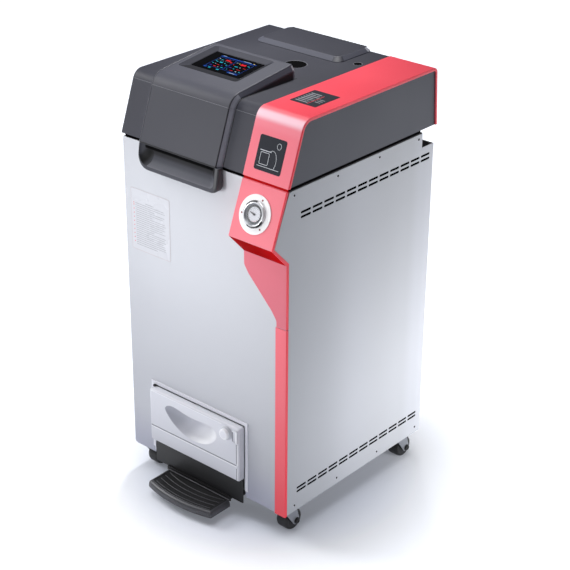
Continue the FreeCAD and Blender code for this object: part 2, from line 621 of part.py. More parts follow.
for k, (z0, z1) in enumerate(((298, 376), (384, 462), (470, 540))):
    bsk = sketch(bk, "Basket_slot_%d" % k, "XZ_Plane", [rect(-7, 7, z0, z1)])
    bpk = bk.newObject("PartDesign::Pocket", "Basket_pocket_%d" % k)
    bpk.Profile = bsk
    bpk.Type = 1
    doc.recompute()
    bpp = bk.newObject("PartDesign::PolarPattern", "Basket_polar_%d" % k)
    bpp.Originals = [bpk]
    bpp.Axis = (bsk, ["V_Axis"])
    bpp.Angle = 360.0
    bpp.Occurrences = 36
    bk.Tip = bpp
    doc.recompute()
basket_floor = cyl("basket_floor", "Z", 0, D.cham_y, 287.1, 146.5, 1.5)
keep(group("SterilizingBasket", basket_floor, *staves("basket", bk, 280, 560)), "sterilizing_basket")

# ---- services at the rear ------------------------------------------------------------

keep(box("ControlBox", 142, 238, 412, 505.48, 300, 620), "control_box")
socket = cut("inlet_shell", fuse("inlet_solid", box("inlet_body", 151, 197, 478, 507.02, 101, 131), box("inlet_flange", 145, 203, 507.02, 509.5, 95, 137)),
             box("inlet_socket", 158, 190, 484, 511, 106, 126))
keep(fuse("PowerInlet", socket, *[box("inlet_blade_%d" % i, x, x + 6, 483, 503, 111, 113) for i, x in enumerate((162, 171, 180))]), "power_inlet")
keep(fuse("DrainValve", cyl("drain_pipe", "Y", -60, 440, 60, 8, 40), cyl("drain_nut", "Y", -60, 478, 60, 13, 10),
          cyl("drain_stub", "Y", -60, 487, 60, 7, 27.5)), "drain_valve")

# ---- cover hinge ---------------------------------------------------------------------

GY, GZ, GR = D.hinge_y, D.hinge_z, D.hinge_rad


def knuckle(name, x, w, low, high, rad):
    return fuse(name, cyl(name + "_eye", "X", x, GY, GZ, 11, w), box(name + "_leg", x, x + w, GY - 11, GY + 11, low, high))


cheeks = []
for i, x in enumerate((-136.2, -113.8, 107.8, 130.2)):
    cheeks.append(knuckle("cheek_%d" % i, x, 6, D.notch_z + 0.02, GZ, 11))
brk = cut("bracket_bored", fuse("bracket_all", *cheeks), cyl("bracket_bore", "X", -150, GY, GZ, GR + 0.02, 300))
keep(brk, "hinge_brackets")
keep(cyl("HingePin", "X", -142, GY, GZ, GR, 284), "hinge_pin")
arms = []
for i, x in enumerate((-130, 114)):
    arms.append(fuse("hinge_arm_%d" % i, cyl("arm_eye_%d" % i, "X", x, GY, GZ, 11, 16),
                     box("arm_post_%d" % i, x, x + 16, GY - 11, GY + 11, GZ, 811.98)))
keep(cut("HingeArms", fuse("hinge_arms_all", *arms), cyl("arm_bore", "X", -150, GY, GZ, GR + D.run_gap, 300)), "hinge_arms")

# ---- cover ---------------------------------------------------------------------------

LB = CH + D.seam_gap
CY, CZ, LZ, LR, LW = D.crease_y, D.crease_z, D.lid_z, D.lid_rear, D.lid_wall


def lid_profile(off, low):
    """Side outline of the cover, moved out by off, open bottom at low."""
    dz = q(low) - LB
    return [(q(1.4) - off * 1.063 + dz * ((CY - 1.4) / (CZ - LB)), low), (CY - off * 1.02, CZ + off * 0.1), (q(57.0) - off * 0.5, LZ + off),
            (q(505.0) + off * 0.97, LZ + off), (LR + off - dz * ((LR - 505.0) / (LZ - LB)), low)]


def lid_solid(name, off, x0, x1, low, r_front, r_rear):
    b = new_body(name)
    pad(b, sketch(b, name + "_sketch", "YZ_Plane", [lid_profile(off, low)]), q(x1) - q(x0), name + "_pad")
    place(b, x0, Y(0), Z(0))
    doc.recompute()
    pts = lid_profile(off, low)

    def near(k):
        return lambda e: (abs(e.tangentAt(e.FirstParameter).x) > 0.99 and abs(e.CenterOfMass.y - Y(pts[k][0]).v) < 0.3
                          and abs(e.CenterOfMass.z - Z(pts[k][1]).v) < 0.3)
    f = rounded(name + "_nose", b, r_front, near(2))
    return rounded(name + "_tail", f, r_rear, near(3))


outer = lid_solid("LidOut", 0, D.lid_left, 240, LB, 28.0, 12.0)
outer = rounded("LidLeftEdge", outer, 4.0,
                lambda e: abs(e.CenterOfMass.x - D.lid_left.v) < 0.1 and e.CenterOfMass.z > Z(LB).v + 1)
inner = lid_solid("LidIn", -2.8, D.lid_left + LW, 246, CH - 20, 25.0, 9.0)
keep(cut("LidCover", outer, inner,
         cyl("lid_big_hole", "Z", -3, 311, LZ - 10, 24, 20), cyl("lid_small_hole", "Z", 97, 406, LZ - 10, 10, 20)), "lid_cover")
infill_out = lid_solid("InfillOut", -0.3, 240.1, 242.4, LB, 28.0, 12.0)
keep(infill_out, "side_infill")
band_out = lid_solid("BandOut", 1.25, D.band_x, D.band_right, LB - 1, 29.0, 13.0)
band_in = lid_solid("BandIn", 0.05, D.band_x - 2, 243.6, CH - 20, 28.0, 12.0)
band_win = lid_solid("BandWin", -7.0, 243.0, 247, CH - 20, 21.0, 6.0)
keep(cut("RedBand", band_out, band_in, band_win,
         cyl("band_small_hole", "Z", 97, 406, LZ - 10, 10, 20)), "red_band")

top_label = box("BandTopLabel", 140, 211, 122, 205, LZ + 1.27, LZ + 1.75)
fl = doc.addObject("Part::Box", "BandFrontLabel")
fl.Length, fl.Width, fl.Height = 73.0, 75.0, 0.5
tilt = math.degrees(math.atan2(CZ.v - LB.v, CY.v - 1.4))
la = math.radians(tilt)
fl.Placement = FreeCAD.Placement(
    V3(142, Y(1.4).v + 20.0 * math.cos(la) - 1.275 * math.sin(la), Z(LB).v + 20.0 * math.sin(la) + 1.275 * math.cos(la)),
    FreeCAD.Rotation(V3(1, 0, 0), tilt))
keep(group("BandLabels", top_label, fl), "band_labels")

# ---- control pod, screen, handle, rear cover -----------------------------------------

pod_pts = [(1.1, 807.5), (-13.5, 807.5), (30, 928), (50, 952.5), (D.pod_rear, 974.2), (D.pod_rear + 8, LZ + 0.02), (70, LZ + 0.02),
           (57.2, LZ + 0.02), (CY - 0.02, CZ + 0.02)]
pod = prism("PodBlock", "YZ_Plane", [pod_pts], D.pod_right - D.pod_x, (D.pod_x, Y(0), Z(0)))
doc.recompute()
pod = rounded("PodNose", pod, 30.0, lambda e: abs(e.tangentAt(e.FirstParameter).x) > 0.99
              and abs(e.CenterOfMass.y - Y(50).v) < 0.3 and abs(e.CenterOfMass.z - Z(952.5).v) < 0.3)
doc.recompute()
pc = doc.addObject("Part::Chamfer", "PodBevel")
pc.Base = pod
side_edges = []
for i, e in enumerate(pod.Shape.Edges):
    m = e.CenterOfMass
    on_side = abs(m.x - D.pod_x.v) < 0.1 or abs(m.x - D.pod_right.v) < 0.1
    top = m.z > Z(LZ).v + 6 or (m.y < Y(29).v and m.z > Z(830).v and m.y < Y(-13.5 + (m.z - Z(807.5).v) * 0.361 + 4).v)
    if on_side and top and abs(m.y - Y(D.pod_rear + 4).v) > 3.5 and m.y < Y(D.pod_rear - 2).v:
        side_edges.append((i + 1, D.pod_ch.v, D.pod_ch.v))
pc.Edges = side_edges
pod_in = prism("PodCavity", "YZ_Plane",
               [[(0, 800), (-9.8, 811), (33, 926.5), (53, 948.5), (D.pod_rear - 5, 969), (D.pod_rear - 2, LZ - 10), (70, LZ - 10), (CY - 10, CZ - 10)]],
               D.pod_right - D.pod_x - 25, (D.pod_x + 12.5, Y(0), Z(0)))
SLOPE = math.degrees(math.atan(0.1155))


def on_slope(obj, x, y, lift):
    """Places an object on the pod's sloped top, lift above it, corner at x, y."""
    z = 952.5 + (y - 50) * 0.11543
    a = math.radians(SLOPE)
    obj.Placement = FreeCAD.Placement(V3(x, Y(y).v - lift * math.sin(a), Z(z).v + lift * math.cos(a)), FreeCAD.Rotation(V3(1, 0, 0), SLOPE))
    return obj


def slope_box(name, x0, x1, y0, y1, h0, h1):
    b = doc.addObject("Part::Box", name)
    b.Length, b.Width, b.Height = x1 - x0, (y1 - y0) / math.cos(math.radians(SLOPE)), h1 - h0
    return on_slope(b, x0, y0, h0)


shell = cut("ControlPodShell", pc, fuse("pod_void", cut("pod_cavity_clear", pod_in, slope_box("pod_seat", -167, 14, 95, 228, -12, 4)),
                                        slope_box("pod_recess", -149.2, -1.8, 120.5, 210, -7, 4), slope_box("pod_window", -140, -10, 130, 200, -14, 4),
                                        slope_box("pod_step", -162, 9, 99.5, 222.5, -2.6, 4)))
keep(shell, "control_pod")
keep(slope_box("TouchScreen", -147, -3.8, 123, 207.6, -6.96, -4.4), "touch_screen")

hb = box("handle_block", -175, 64, -27, -3, 749, 807.48)
hb = rounded("handle_round", hb, 18.0, lambda e: abs(e.tangentAt(e.FirstParameter).y) > 0.99 and e.CenterOfMass.z < Z(755).v)
hb = rounded("handle_soft", hb, 3.0, lambda e: abs(e.CenterOfMass.y - Y(-27).v) < 0.1)
hcut = box("handle_pocket", -160, 46, -30, -6, 763, 800)
htop = box("handle_top_relief", -160, 46, -30, -15, 799, 810)
keep(cut("LidHandle", hb, hcut, htop), "lid_handle")

vc = doc.addObject("Part::Chamfer", "VentBevel")
vb = box("vent_block", -190, 64, 378, 505, LZ + 0.02, 951.5)
doc.recompute()
vc.Base = vb
vc.Edges = [(i + 1, 7.0, 7.0) for i, e in enumerate(vb.Shape.Edges) if abs(e.CenterOfMass.z - Z(951.5).v) < 0.1]
keep(vc, "rear_vent_cover")

# ---- inside the cover ----------------------------------------------------------------

pan = cut("PanPlate", box("pan_plate", -240.5, 238.5, 9, 504, 812, 813.6), cyl("pan_mouth", "Z", 0, D.cham_y, 805, 186.5, 20))
bridge = cut("PanBridge", box("bridge_bar", -22, 22, 20, 470, 832.02, 842), cyl("bridge_hole", "Z", -3, 311, 825, 14.5, 30))
# One welded frame: the pan, the bridge over the pressure lid on its two posts, and the latch striker.
keep(fuse("LidInnerPan", pan, bridge, box("bridge_post_front", -22, 22, 20, 32, 813, 833), box("bridge_post_rear", -22, 22, 458, 470, 813, 833),
          box("striker_bar", HX - 16, HX - 2, HY - 4.6, HY + 2.0, 801.6, 805),
          box("striker_leg_a", HX - 19, HX - 15.5, HY - 4.6, HY + 2.0, 801.6, 812.5),
          box("striker_leg_b", HX - 2.5, HX + 1, HY - 4.6, HY + 2.0, 801.6, 812.5)), "lid_inner_pan")
keep(revolve("PressureLid", [(0, 811.5), (160, 811.5), (160, 809.1), (185.5, 809.1), (185.5, 815), (165, 822), (90, 830), (0, 832)], 0, D.cham_y),
     "pressure_lid")
keep(revolve("LidGasket", [(163, FL + 0.35), (178, FL + 0.35), (178, 809.08), (163, 809.08)], 0, D.cham_y), "lid_gasket")
keep(cut("SafetyValve", fuse("valve_solid", cyl("valve_body", "Z", -3, 311, 830.9, 14, 50), cyl("valve_cap", "Z", -3, 311, 880.9, 19, 30)),
         box("valve_clear", -30, 30, 280, 340, 820, 832.3)), "safety_valve")
# ---- casters -------------------------------------------------------------------------

plates = []
for tag, sx, sy in (("fl", -D.cast_x, D.cast_fy), ("fr", D.cast_x, D.cast_fy), ("rl", -D.cast_x, D.cast_ry), ("rr", D.cast_x, D.cast_ry)):
    plates.append(cut("plate_" + tag, box("plate_blank_" + tag, sx - 27, sx + 27, sy - 26, sy + 27, 3, 5.98),
                      cyl("plate_pin_" + tag, "Z", sx, sy, 0, 5.05, 10)))
    wy = sy + D.cast_trail
    wz = D.wheel_rad - D.floor_gap
    leg = [(sy - 17, -2), (sy + 20, -2), (wy + 9, wz + 3), (wy + 7, wz - 7), (wy - 4, wz - 9), (wy - 10, wz - 3)]
    legs = [prism("fork_leg_%s_%d" % (tag, i), "YZ_Plane", [leg], 3, (sx + dx, Y(0), Z(0))) for i, dx in enumerate((-24, 21))]
    crown = box("fork_crown_" + tag, sx - 24, sx + 24, sy - 17, sy + 20, -5, -2)
    race = cyl("fork_race_" + tag, "Z", sx, sy, -2.02, 20, 4.7)
    kpin = cyl("fork_pin_" + tag, "Z", sx, sy, 0, 5, 9.5)
    axle = cyl("fork_axle_" + tag, "X", sx - 27, wy, wz, D.axle_rad, 54)
    heads = [cyl("fork_head_%s_%d" % (tag, i), "X", sx + dx, wy, wz, 6, 5) for i, dx in enumerate((-29, 24))]
    keep(fuse("Fork_" + tag, crown, race, kpin, axle, *(legs + heads)), "caster_fork_" + tag)
    wheel = rounded("wheel_round_" + tag, cyl("wheel_disc_" + tag, "X", sx - D.wheel_half, wy, wz, D.wheel_rad, D.wheel_half * 2), 5.0,
                    lambda e: e.Length > 100)
    hub = cyl("wheel_hub_" + tag, "X", sx - 20, wy, wz, 9, 40)
    keep(cut("Wheel_" + tag, fuse("wheel_solid_" + tag, wheel, hub), cyl("wheel_bore_" + tag, "X", sx - 30, wy, wz, D.axle_rad + D.run_gap, 60)),
         "caster_wheel_" + tag)
keep(group("CasterPlates", *plates), "caster_plates")

# ---- fasteners of the side panels ----------------------------------------------------

heads = []
for side in (-1, 1):
    for yy, zz in [(y, 787) for y in (20.5, 162.5, 306, 448.6)] + [(y, 17) for y in (31, 183, 335, 487)]:
        x0 = HW if side > 0 else -HW - 1.2
        heads.append(cyl("screw_%d" % len(heads), "X", x0, yy, zz, 2.8, 1.2))
keep(group("SideScrews", *heads), "side_screws")

# ---- checks and export ---------------------------------------------------------------

doc.recompute()
bad = []
for o in doc.Objects:
    if any(s in ("Invalid", "Error") for s in o.State):
        bad.append("%s %s" % (o.Name, o.State))
for o in NODES:
    s = o.Shape
    if s.isNull() or not s.isValid() or not s.Solids or s.Volume <= 0:
        bad.append("shape of " + o.Label)
if bad:
    raise SystemExit("failed: " + "; ".join(bad))

os.makedirs("parts", exist_ok=True)
lo, hi = [1e9] * 3, [-1e9] * 3
for o in NODES:
    s = o.Shape
    s.exportStep("parts/%s.step" % o.Label)
    bb = s.BoundBox
    for k, (a, b) in enumerate(((bb.XMin, bb.XMax), (bb.YMin, bb.YMax), (bb.ZMin, bb.ZMax))):
        lo[k], hi[k] = min(lo[k], a), max(hi[k], b)
    print("%-22s solids %2d  vol %10.0f  box %s" % (o.Label, len(s.Solids), s.Volume, [round(v, 1) for v in (bb.XMin, bb.YMin, bb.ZMin, bb.XMax, bb.YMax, bb.ZMax)]))
print("nodes", len(NODES), "box", [round(v, 2) for v in lo + hi])
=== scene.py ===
import math

import bmesh
import bpy
from mathutils import Matrix, Vector
from mathutils.geometry import tessellate_polygon


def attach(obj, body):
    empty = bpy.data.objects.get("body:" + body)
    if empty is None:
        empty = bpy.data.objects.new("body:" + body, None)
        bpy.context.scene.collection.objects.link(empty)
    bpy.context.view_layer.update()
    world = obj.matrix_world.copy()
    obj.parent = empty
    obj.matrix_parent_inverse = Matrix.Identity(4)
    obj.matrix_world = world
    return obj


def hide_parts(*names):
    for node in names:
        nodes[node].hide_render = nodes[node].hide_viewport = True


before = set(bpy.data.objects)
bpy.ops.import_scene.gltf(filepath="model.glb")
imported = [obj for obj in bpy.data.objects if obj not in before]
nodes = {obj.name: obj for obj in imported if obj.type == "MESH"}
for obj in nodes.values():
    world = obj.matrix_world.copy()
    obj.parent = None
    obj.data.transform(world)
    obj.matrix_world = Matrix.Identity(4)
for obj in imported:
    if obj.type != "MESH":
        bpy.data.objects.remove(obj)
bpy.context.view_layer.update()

# Sizes below are millimetres from the cabinet's datum: x = 0 its middle, y = 0 its front
# plane, z = 0 its bottom edge. FY and FZ carry them into the frame.
MM, FY, FZ = 0.001, -213.5, 66.0


def P(x, y, z):
    return Vector((x * MM, (y + FY) * MM, (z + FZ) * MM))


# ---- materials ------------------------------------------------------------------------


def lin(r, g, b):
    """Linear colour of an 8-bit display colour."""
    out = []
    for c in (r, g, b):
        c = c / 255.0
        out.append(c / 12.92 if c <= 0.04045 else ((c + 0.055) / 1.055) ** 2.4)
    return tuple(out)


def mat(name, rgb, rough=0.45, metal=0.0, var=0.05, vscale=7.0, rvar=0.05, bump=0.08, bscale=1500.0, bdist=0.0003,
        coat=0.0, spec=0.5, stretch=(1, 1, 1), emit=0.0, trans=0.0, alpha=1.0, speck=0.0, aniso=0.0):
    m = bpy.data.materials.new(name)
    m.use_nodes = True
    nt = m.node_tree
    b = nt.nodes["Principled BSDF"]
    tc = nt.nodes.new("ShaderNodeTexCoord")
    mp = nt.nodes.new("ShaderNodeMapping")
    mp.inputs["Scale"].default_value = stretch
    nt.links.new(tc.outputs["Object"], mp.inputs["Vector"])
    big = nt.nodes.new("ShaderNodeTexNoise")
    big.inputs["Scale"].default_value = vscale
    big.inputs["Detail"].default_value = 4.0
    nt.links.new(mp.outputs["Vector"], big.inputs["Vector"])
    ramp = nt.nodes.new("ShaderNodeValToRGB")
    ramp.color_ramp.elements[0].position = 0.3
    ramp.color_ramp.elements[1].position = 0.7
    ramp.color_ramp.elements[0].color = tuple(max(0.0, c * (1 - var)) for c in rgb) + (1,)
    ramp.color_ramp.elements[1].color = tuple(min(1.0, c * (1 + var)) for c in rgb) + (1,)
    nt.links.new(big.outputs["Fac"], ramp.inputs["Fac"])
    colour = ramp.outputs["Color"]
    fine = nt.nodes.new("ShaderNodeTexNoise")
    fine.inputs["Scale"].default_value = bscale
    fine.inputs["Detail"].default_value = 3.0
    nt.links.new(mp.outputs["Vector"], fine.inputs["Vector"])
    if speck > 0:
        mix = nt.nodes.new("ShaderNodeMix")
        mix.data_type = "RGBA"
        mix.blend_type = "OVERLAY"
        mix.inputs["Factor"].default_value = speck
        nt.links.new(colour, mix.inputs["A"])
        nt.links.new(fine.outputs["Fac"], mix.inputs["B"])
        colour = mix.outputs["Result"]
    nt.links.new(colour, b.inputs["Base Color"])
    rr_ = nt.nodes.new("ShaderNodeMapRange")
    rr_.inputs["From Min"].default_value = 0.3
    rr_.inputs["From Max"].default_value = 0.7
    rr_.inputs["To Min"].default_value = max(0.02, rough - rvar)
    rr_.inputs["To Max"].default_value = min(1.0, rough + rvar)
    nt.links.new(big.outputs["Fac"], rr_.inputs["Value"])
    nt.links.new(rr_.outputs["Result"], b.inputs["Roughness"])
    if bump > 0:
        bp = nt.nodes.new("ShaderNodeBump")
        bp.inputs["Strength"].default_value = bump
        bp.inputs["Distance"].default_value = bdist
        nt.links.new(fine.outputs["Fac"], bp.inputs["Height"])
        nt.links.new(bp.outputs["Normal"], b.inputs["Normal"])
    b.inputs["Metallic"].default_value = metal
    b.inputs["Specular IOR Level"].default_value = spec
    if coat:
        b.inputs["Coat Weight"].default_value = coat
        b.inputs["Coat Roughness"].default_value = 0.12
    if aniso:
        b.inputs["Anisotropic"].default_value = aniso
    if emit:
        nt.links.new(colour, b.inputs["Emission Color"])
        b.inputs["Emission Strength"].default_value = emit
    if trans:
        b.inputs["Transmission Weight"].default_value = trans
    if alpha < 1:
        b.inputs["Alpha"].default_value = alpha
    m.diffuse_color = tuple(rgb) + (1,)
    return m


def light_shade_gradient(m, along, stops):
    """Let a material's colour run along a direction to paint light and shade into it: stops are (mm along it, colour).
    """
    nt = m.node_tree
    b = nt.nodes["Principled BSDF"]
    tc = nt.nodes.new("ShaderNodeTexCoord")
    dp = nt.nodes.new("ShaderNodeVectorMath")
    dp.operation = "DOT_PRODUCT"
    k = Vector(along).normalized()
    dp.inputs[1].default_value = tuple(k)
    nt.links.new(tc.outputs["Object"], dp.inputs[0])
    mr = nt.nodes.new("ShaderNodeMapRange")
    off = P(0, 0, 0).dot(k)
    lo, hi = stops[0][0] * MM + off, stops[-1][0] * MM + off
    mr.inputs["From Min"].default_value = lo
    mr.inputs["From Max"].default_value = hi
    nt.links.new(dp.outputs["Value"], mr.inputs["Value"])
    ramp = nt.nodes.new("ShaderNodeValToRGB")
    ramp.color_ramp.interpolation = "EASE"
    span = stops[-1][0] - stops[0][0]
    while len(ramp.color_ramp.elements) < len(stops):
        ramp.color_ramp.elements.new(0.5)
    for el, (d, c) in zip(ramp.color_ramp.elements, stops):
        el.position = (d - stops[0][0]) / span
    for el, (d, c) in zip(ramp.color_ramp.elements, stops):
        el.color = tuple(c) + (1,)
    nt.links.new(mr.outputs["Result"], ramp.inputs["Fac"])
    nt.links.new(ramp.outputs["Color"], b.inputs["Base Color"])
    return m


PAINT = mat("powder_coat_light", (0.585, 0.60, 0.665), 0.42, var=0.03, vscale=3.0, rvar=0.04, bump=0.10, bscale=1100, speck=0.05)
PAINT2 = mat("powder_coat_door", (0.78, 0.785, 0.85), 0.38, var=0.02, vscale=5.0, rvar=0.04, bump=0.08, bscale=1200, speck=0.04)
RED = mat("powder_coat_red", (0.90, 0.065, 0.10), 0.36, var=0.03, vscale=5.0, rvar=0.04, bump=0.08, bscale=1200)
# Console face red, paler and less saturated than the band's top: painted sheen.
RED_SHEEN_FACE = mat("powder_coat_red_front_painted_sheen", (0.84, 0.175, 0.225), 0.36, var=0.03, vscale=5.0, rvar=0.04, bump=0.08, bscale=1200)
# Corner strip red, paler and less saturated towards the top: painted sheen.
RED_STRIP_SHEEN = light_shade_gradient(mat("powder_coat_red_strip_painted_sheen", (0.86, 0.135, 0.18), 0.36, var=0.03, vscale=5.0, rvar=0.04, bump=0.08, bscale=1200), (0, 0, 1),
                 [(0.0, (0.93, 0.062, 0.092)), (160.0, (0.92, 0.095, 0.13)), (330.0, (0.90, 0.13, 0.17)), (480.0, (0.88, 0.14, 0.185))])
# Brighter, more saturated red for the right-facing rims and flanges: painted light.
RED_LIT_EDGE = mat("powder_coat_red_rim_painted_light", (1.0, 0.034, 0.062), 0.34, var=0.03, vscale=5.0, rvar=0.04, bump=0.06, bscale=1200)
# Dark red for the return strip in the gap under the band: painted shade.
RED_SHADOWED = mat("powder_coat_red_painted_shade", (0.46, 0.0015, 0.003), 0.70, var=0.04, vscale=5.0, rvar=0.04, bump=0.06, bscale=1200, spec=0.08)
CHAR = mat("moulded_charcoal", (0.0290, 0.0300, 0.0440), 0.50, var=0.05, vscale=5.0, rvar=0.04, bump=0.14, bscale=1600, speck=0.08, spec=0.40)
# Lighter charcoal for the pod's top: painted light.
POD_TOP_LIT = mat("moulded_charcoal_top_painted_light", (0.048, 0.0495, 0.069), 0.46, var=0.05, vscale=5.0, rvar=0.04, bump=0.14, bscale=1600, speck=0.08)
# Lighter charcoal for the pod's shoulders and the vent cover's chamfer: painted light.
CHAR_LIT_SIDE = mat("moulded_charcoal_flank_painted_light", (0.078, 0.081, 0.107), 0.42, var=0.05, vscale=8.0, rvar=0.04, bump=0.10, bscale=1600, speck=0.06)
# Darker charcoal for the pod's lower walls and parts of the handle's rim: painted shade.
CHAR_SHADED = mat("moulded_charcoal_wall_painted_shade", (0.033, 0.034, 0.041), 0.46, var=0.06, vscale=8.0, rvar=0.04, bump=0.10, bscale=1600)
# Pale charcoal for thin lines along the cover's crease, the hole rims and the pod's edges: painted highlight.
CHAR_EDGE_HIGHLIGHT = mat("moulded_charcoal_edge_painted_highlight", (0.17, 0.175, 0.20), 0.40, var=0.05, vscale=20.0, bump=0.05)
INFILL = mat("infill_charcoal", (0.043, 0.046, 0.066), 0.50, var=0.05, vscale=4.0, rvar=0.04, bump=0.12, bscale=1500, speck=0.06)
# Dark charcoal for the screen well's walls: painted shade; the left wall's copy is a lighter painted shade.
POD_WELL_SHADE = mat("moulded_charcoal_well_painted_shade", (0.016, 0.0165, 0.0215), 0.75, var=0.06, vscale=8.0, rvar=0.04, bump=0.10, bscale=1600, spec=0.12)
POD_WELL_SIDE_SHADE = mat("moulded_charcoal_well_side_painted_shade", (0.040, 0.041, 0.053), 0.75, var=0.06, vscale=8.0, rvar=0.04, bump=0.10, bscale=1600, spec=0.10)
# Much lighter charcoal for the pod's front flanks and rear end: painted light.
CHAR_LIT_FLANK = mat("moulded_charcoal_face_edge_painted_light", (0.235, 0.24, 0.29), 0.42, var=0.05, vscale=8.0, rvar=0.04, bump=0.10, bscale=1600, speck=0.05)
# Near-black fill for the hole wells, the cover's foot gap, behind the louvres and in the handle pocket: painted shade.
SHADE_FILL = mat("painted_shade_fill", (0.0012, 0.0012, 0.0015), 0.9, var=0.1, vscale=20.0, rvar=0.02, bump=0.04, spec=0.04)
BLACK = mat("black_paint", (0.012, 0.012, 0.014), 0.55, var=0.12, vscale=12.0, bump=0.10, bscale=1400)
CHROME = mat("chrome_ring", (0.74, 0.75, 0.78), 0.24, metal=0.45, var=0.02, vscale=20.0, rvar=0.02, bump=0.0)
WHITE = mat("satin_white", (0.91, 0.895, 0.91), 0.32, var=0.02, vscale=20.0, bump=0.04)
DIAL = mat("dial_face", (0.70, 0.71, 0.76), 0.45, var=0.03, vscale=60.0, bump=0.0)
DIAL_RING = mat("dial_ring", (0.026, 0.028, 0.032), 0.50, var=0.05, vscale=60.0, bump=0.0)
NEEDLE = mat("needle_black", (0.01, 0.01, 0.012), 0.4, var=0.1, vscale=90.0, bump=0.0)
GLASS = mat("gauge_glass_clear", (0.80, 0.82, 0.86), 0.06, var=0.01, rvar=0.01, bump=0.0, alpha=0.07)
SCREEN = mat("screen_gloss_black", (0.0015, 0.0015, 0.0022), 0.16, var=0.1, vscale=15.0, rvar=0.03, bump=0.0, spec=0.16)
UI_BLUE = mat("ui_blue", (0.002, 0.040, 0.24), 0.4, var=0.15, vscale=60.0, bump=0.0, spec=0.1, emit=0.12)
UI_CYAN = mat("ui_cyan", (0.003, 0.24, 0.33), 0.4, var=0.25, vscale=60.0, bump=0.0, spec=0.1, emit=0.15)
UI_RED = mat("ui_red", (0.46, 0.003, 0.010), 0.4, var=0.25, vscale=60.0, bump=0.0, spec=0.1, emit=0.15)
UI_PURPLE = mat("ui_purple", (0.02, 0.012, 0.20), 0.4, var=0.2, vscale=60.0, bump=0.0, spec=0.1, emit=0.12)
UI_PALE = mat("ui_pale", (0.22, 0.28, 0.34), 0.4, var=0.1, vscale=60.0, bump=0.0, spec=0.1, emit=0.08)
UI_AMBER = mat("ui_amber", (0.55, 0.38, 0.02), 0.3, var=0.1, vscale=60.0, bump=0.0, emit=0.4)
LABEL = mat("label_slate", (0.0225, 0.0250, 0.0335), 0.62, var=0.06, vscale=30.0, bump=0.03, spec=0.14)
LABEL_LINE = mat("label_line", (0.60, 0.63, 0.68), 0.5, var=0.06, vscale=50.0, bump=0.0)
CARD = mat("card_film", (0.60, 0.61, 0.655), 0.30, var=0.015, vscale=6.0, bump=0.02)
CARD_EDGE = mat("card_outline", (0.52, 0.46, 0.48), 0.45, var=0.04, vscale=30.0, bump=0.0)
CARD_BAR = mat("card_bar", (0.30, 0.31, 0.34), 0.5, var=0.10, vscale=90.0, bump=0.0)
CARD_RED = mat("card_dot", (0.70, 0.05, 0.07), 0.5, var=0.10, vscale=90.0, bump=0.0)
RUBBER = mat("pedal_rubber", (0.0085, 0.0085, 0.0100), 0.46, var=0.12, vscale=14.0, rvar=0.06, bump=0.18, bscale=900)
# Paler copies of the tread rubber for its front rounding, ribs, inner lip line and rear ridge: painted highlights.
LIP_RUBBER_HIGHLIGHT = mat("pedal_lip_painted_highlight", (0.062, 0.063, 0.072), 0.36, var=0.10, vscale=20.0, bump=0.08)
RIB_HIGHLIGHT = mat("pedal_rib_painted_highlight", (0.060, 0.060, 0.068), 0.38, var=0.10, vscale=20.0, bump=0.06)
RIDGE_HIGHLIGHT = mat("pedal_ridge_painted_highlight", (0.14, 0.14, 0.155), 0.36, var=0.08, vscale=20.0, bump=0.05)
SKIRT = mat("skirt_charcoal", (0.0095, 0.0096, 0.0115), 0.50, var=0.08, vscale=10.0, bump=0.10)
TYRE = mat("caster_tread", (0.010, 0.010, 0.011), 0.50, var=0.15, vscale=30.0, bump=0.16, bscale=900)
HUB = mat("caster_hub", (0.05, 0.05, 0.055), 0.45, var=0.08, vscale=30.0, bump=0.05)
FORK = mat("caster_fork_zinc", (0.30, 0.31, 0.34), 0.42, metal=0.75, var=0.10, vscale=25.0, rvar=0.08, bump=0.10, bscale=600)
ZINC = mat("zinc_plate", (0.48, 0.49, 0.50), 0.34, metal=0.9, var=0.10, vscale=30.0, rvar=0.08, bump=0.08, bscale=600)
STEEL = mat("brushed_stainless", (0.56, 0.57, 0.585), 0.40, metal=0.50, var=0.03, vscale=30.0, rvar=0.05, bump=0.05, bscale=400)
STEEL_LID = mat("spun_stainless", (0.60, 0.61, 0.62), 0.42, metal=0.42, var=0.02, vscale=14.0, rvar=0.04, bump=0.03, bscale=600)
FOIL = mat("foil_jacket", (0.62, 0.63, 0.65), 0.42, metal=0.50, var=0.05, vscale=18.0, rvar=0.08, bump=0.6, bscale=70, bdist=0.002)
SILICONE = mat("silicone_seal", (0.60, 0.58, 0.53), 0.55, var=0.05, vscale=20.0, bump=0.06)
BRASS = mat("machined_brass", (0.66, 0.48, 0.22), 0.28, metal=1.0, var=0.08, vscale=30.0, rvar=0.06, bump=0.05)
LINER = mat("liner_grey", (0.24, 0.25, 0.27), 0.5, var=0.06, vscale=10.0, bump=0.12, bscale=900)
BOTTLE = mat("bottle_pe", (0.74, 0.77, 0.80), 0.38, var=0.04, vscale=10.0, bump=0.06, bscale=500)
BOTTLE_CAP = mat("bottle_cap_blue", (0.03, 0.14, 0.38), 0.4, var=0.06, vscale=40.0, bump=0.05)
GREY_BOX = mat("box_grey", (0.28, 0.29, 0.30), 0.45, var=0.05, vscale=10.0, bump=0.10)
INLET = mat("inlet_black", (0.015, 0.015, 0.016), 0.32, var=0.10, vscale=30.0, bump=0.06)


# Apron red, paler and less saturated: painted sheen.
APRON_SHEEN_RED = mat("powder_coat_red_apron_painted_sheen", (0.69, 0.135, 0.185), 0.38, var=0.03, vscale=5.0, rvar=0.04, bump=0.08, bscale=1200)
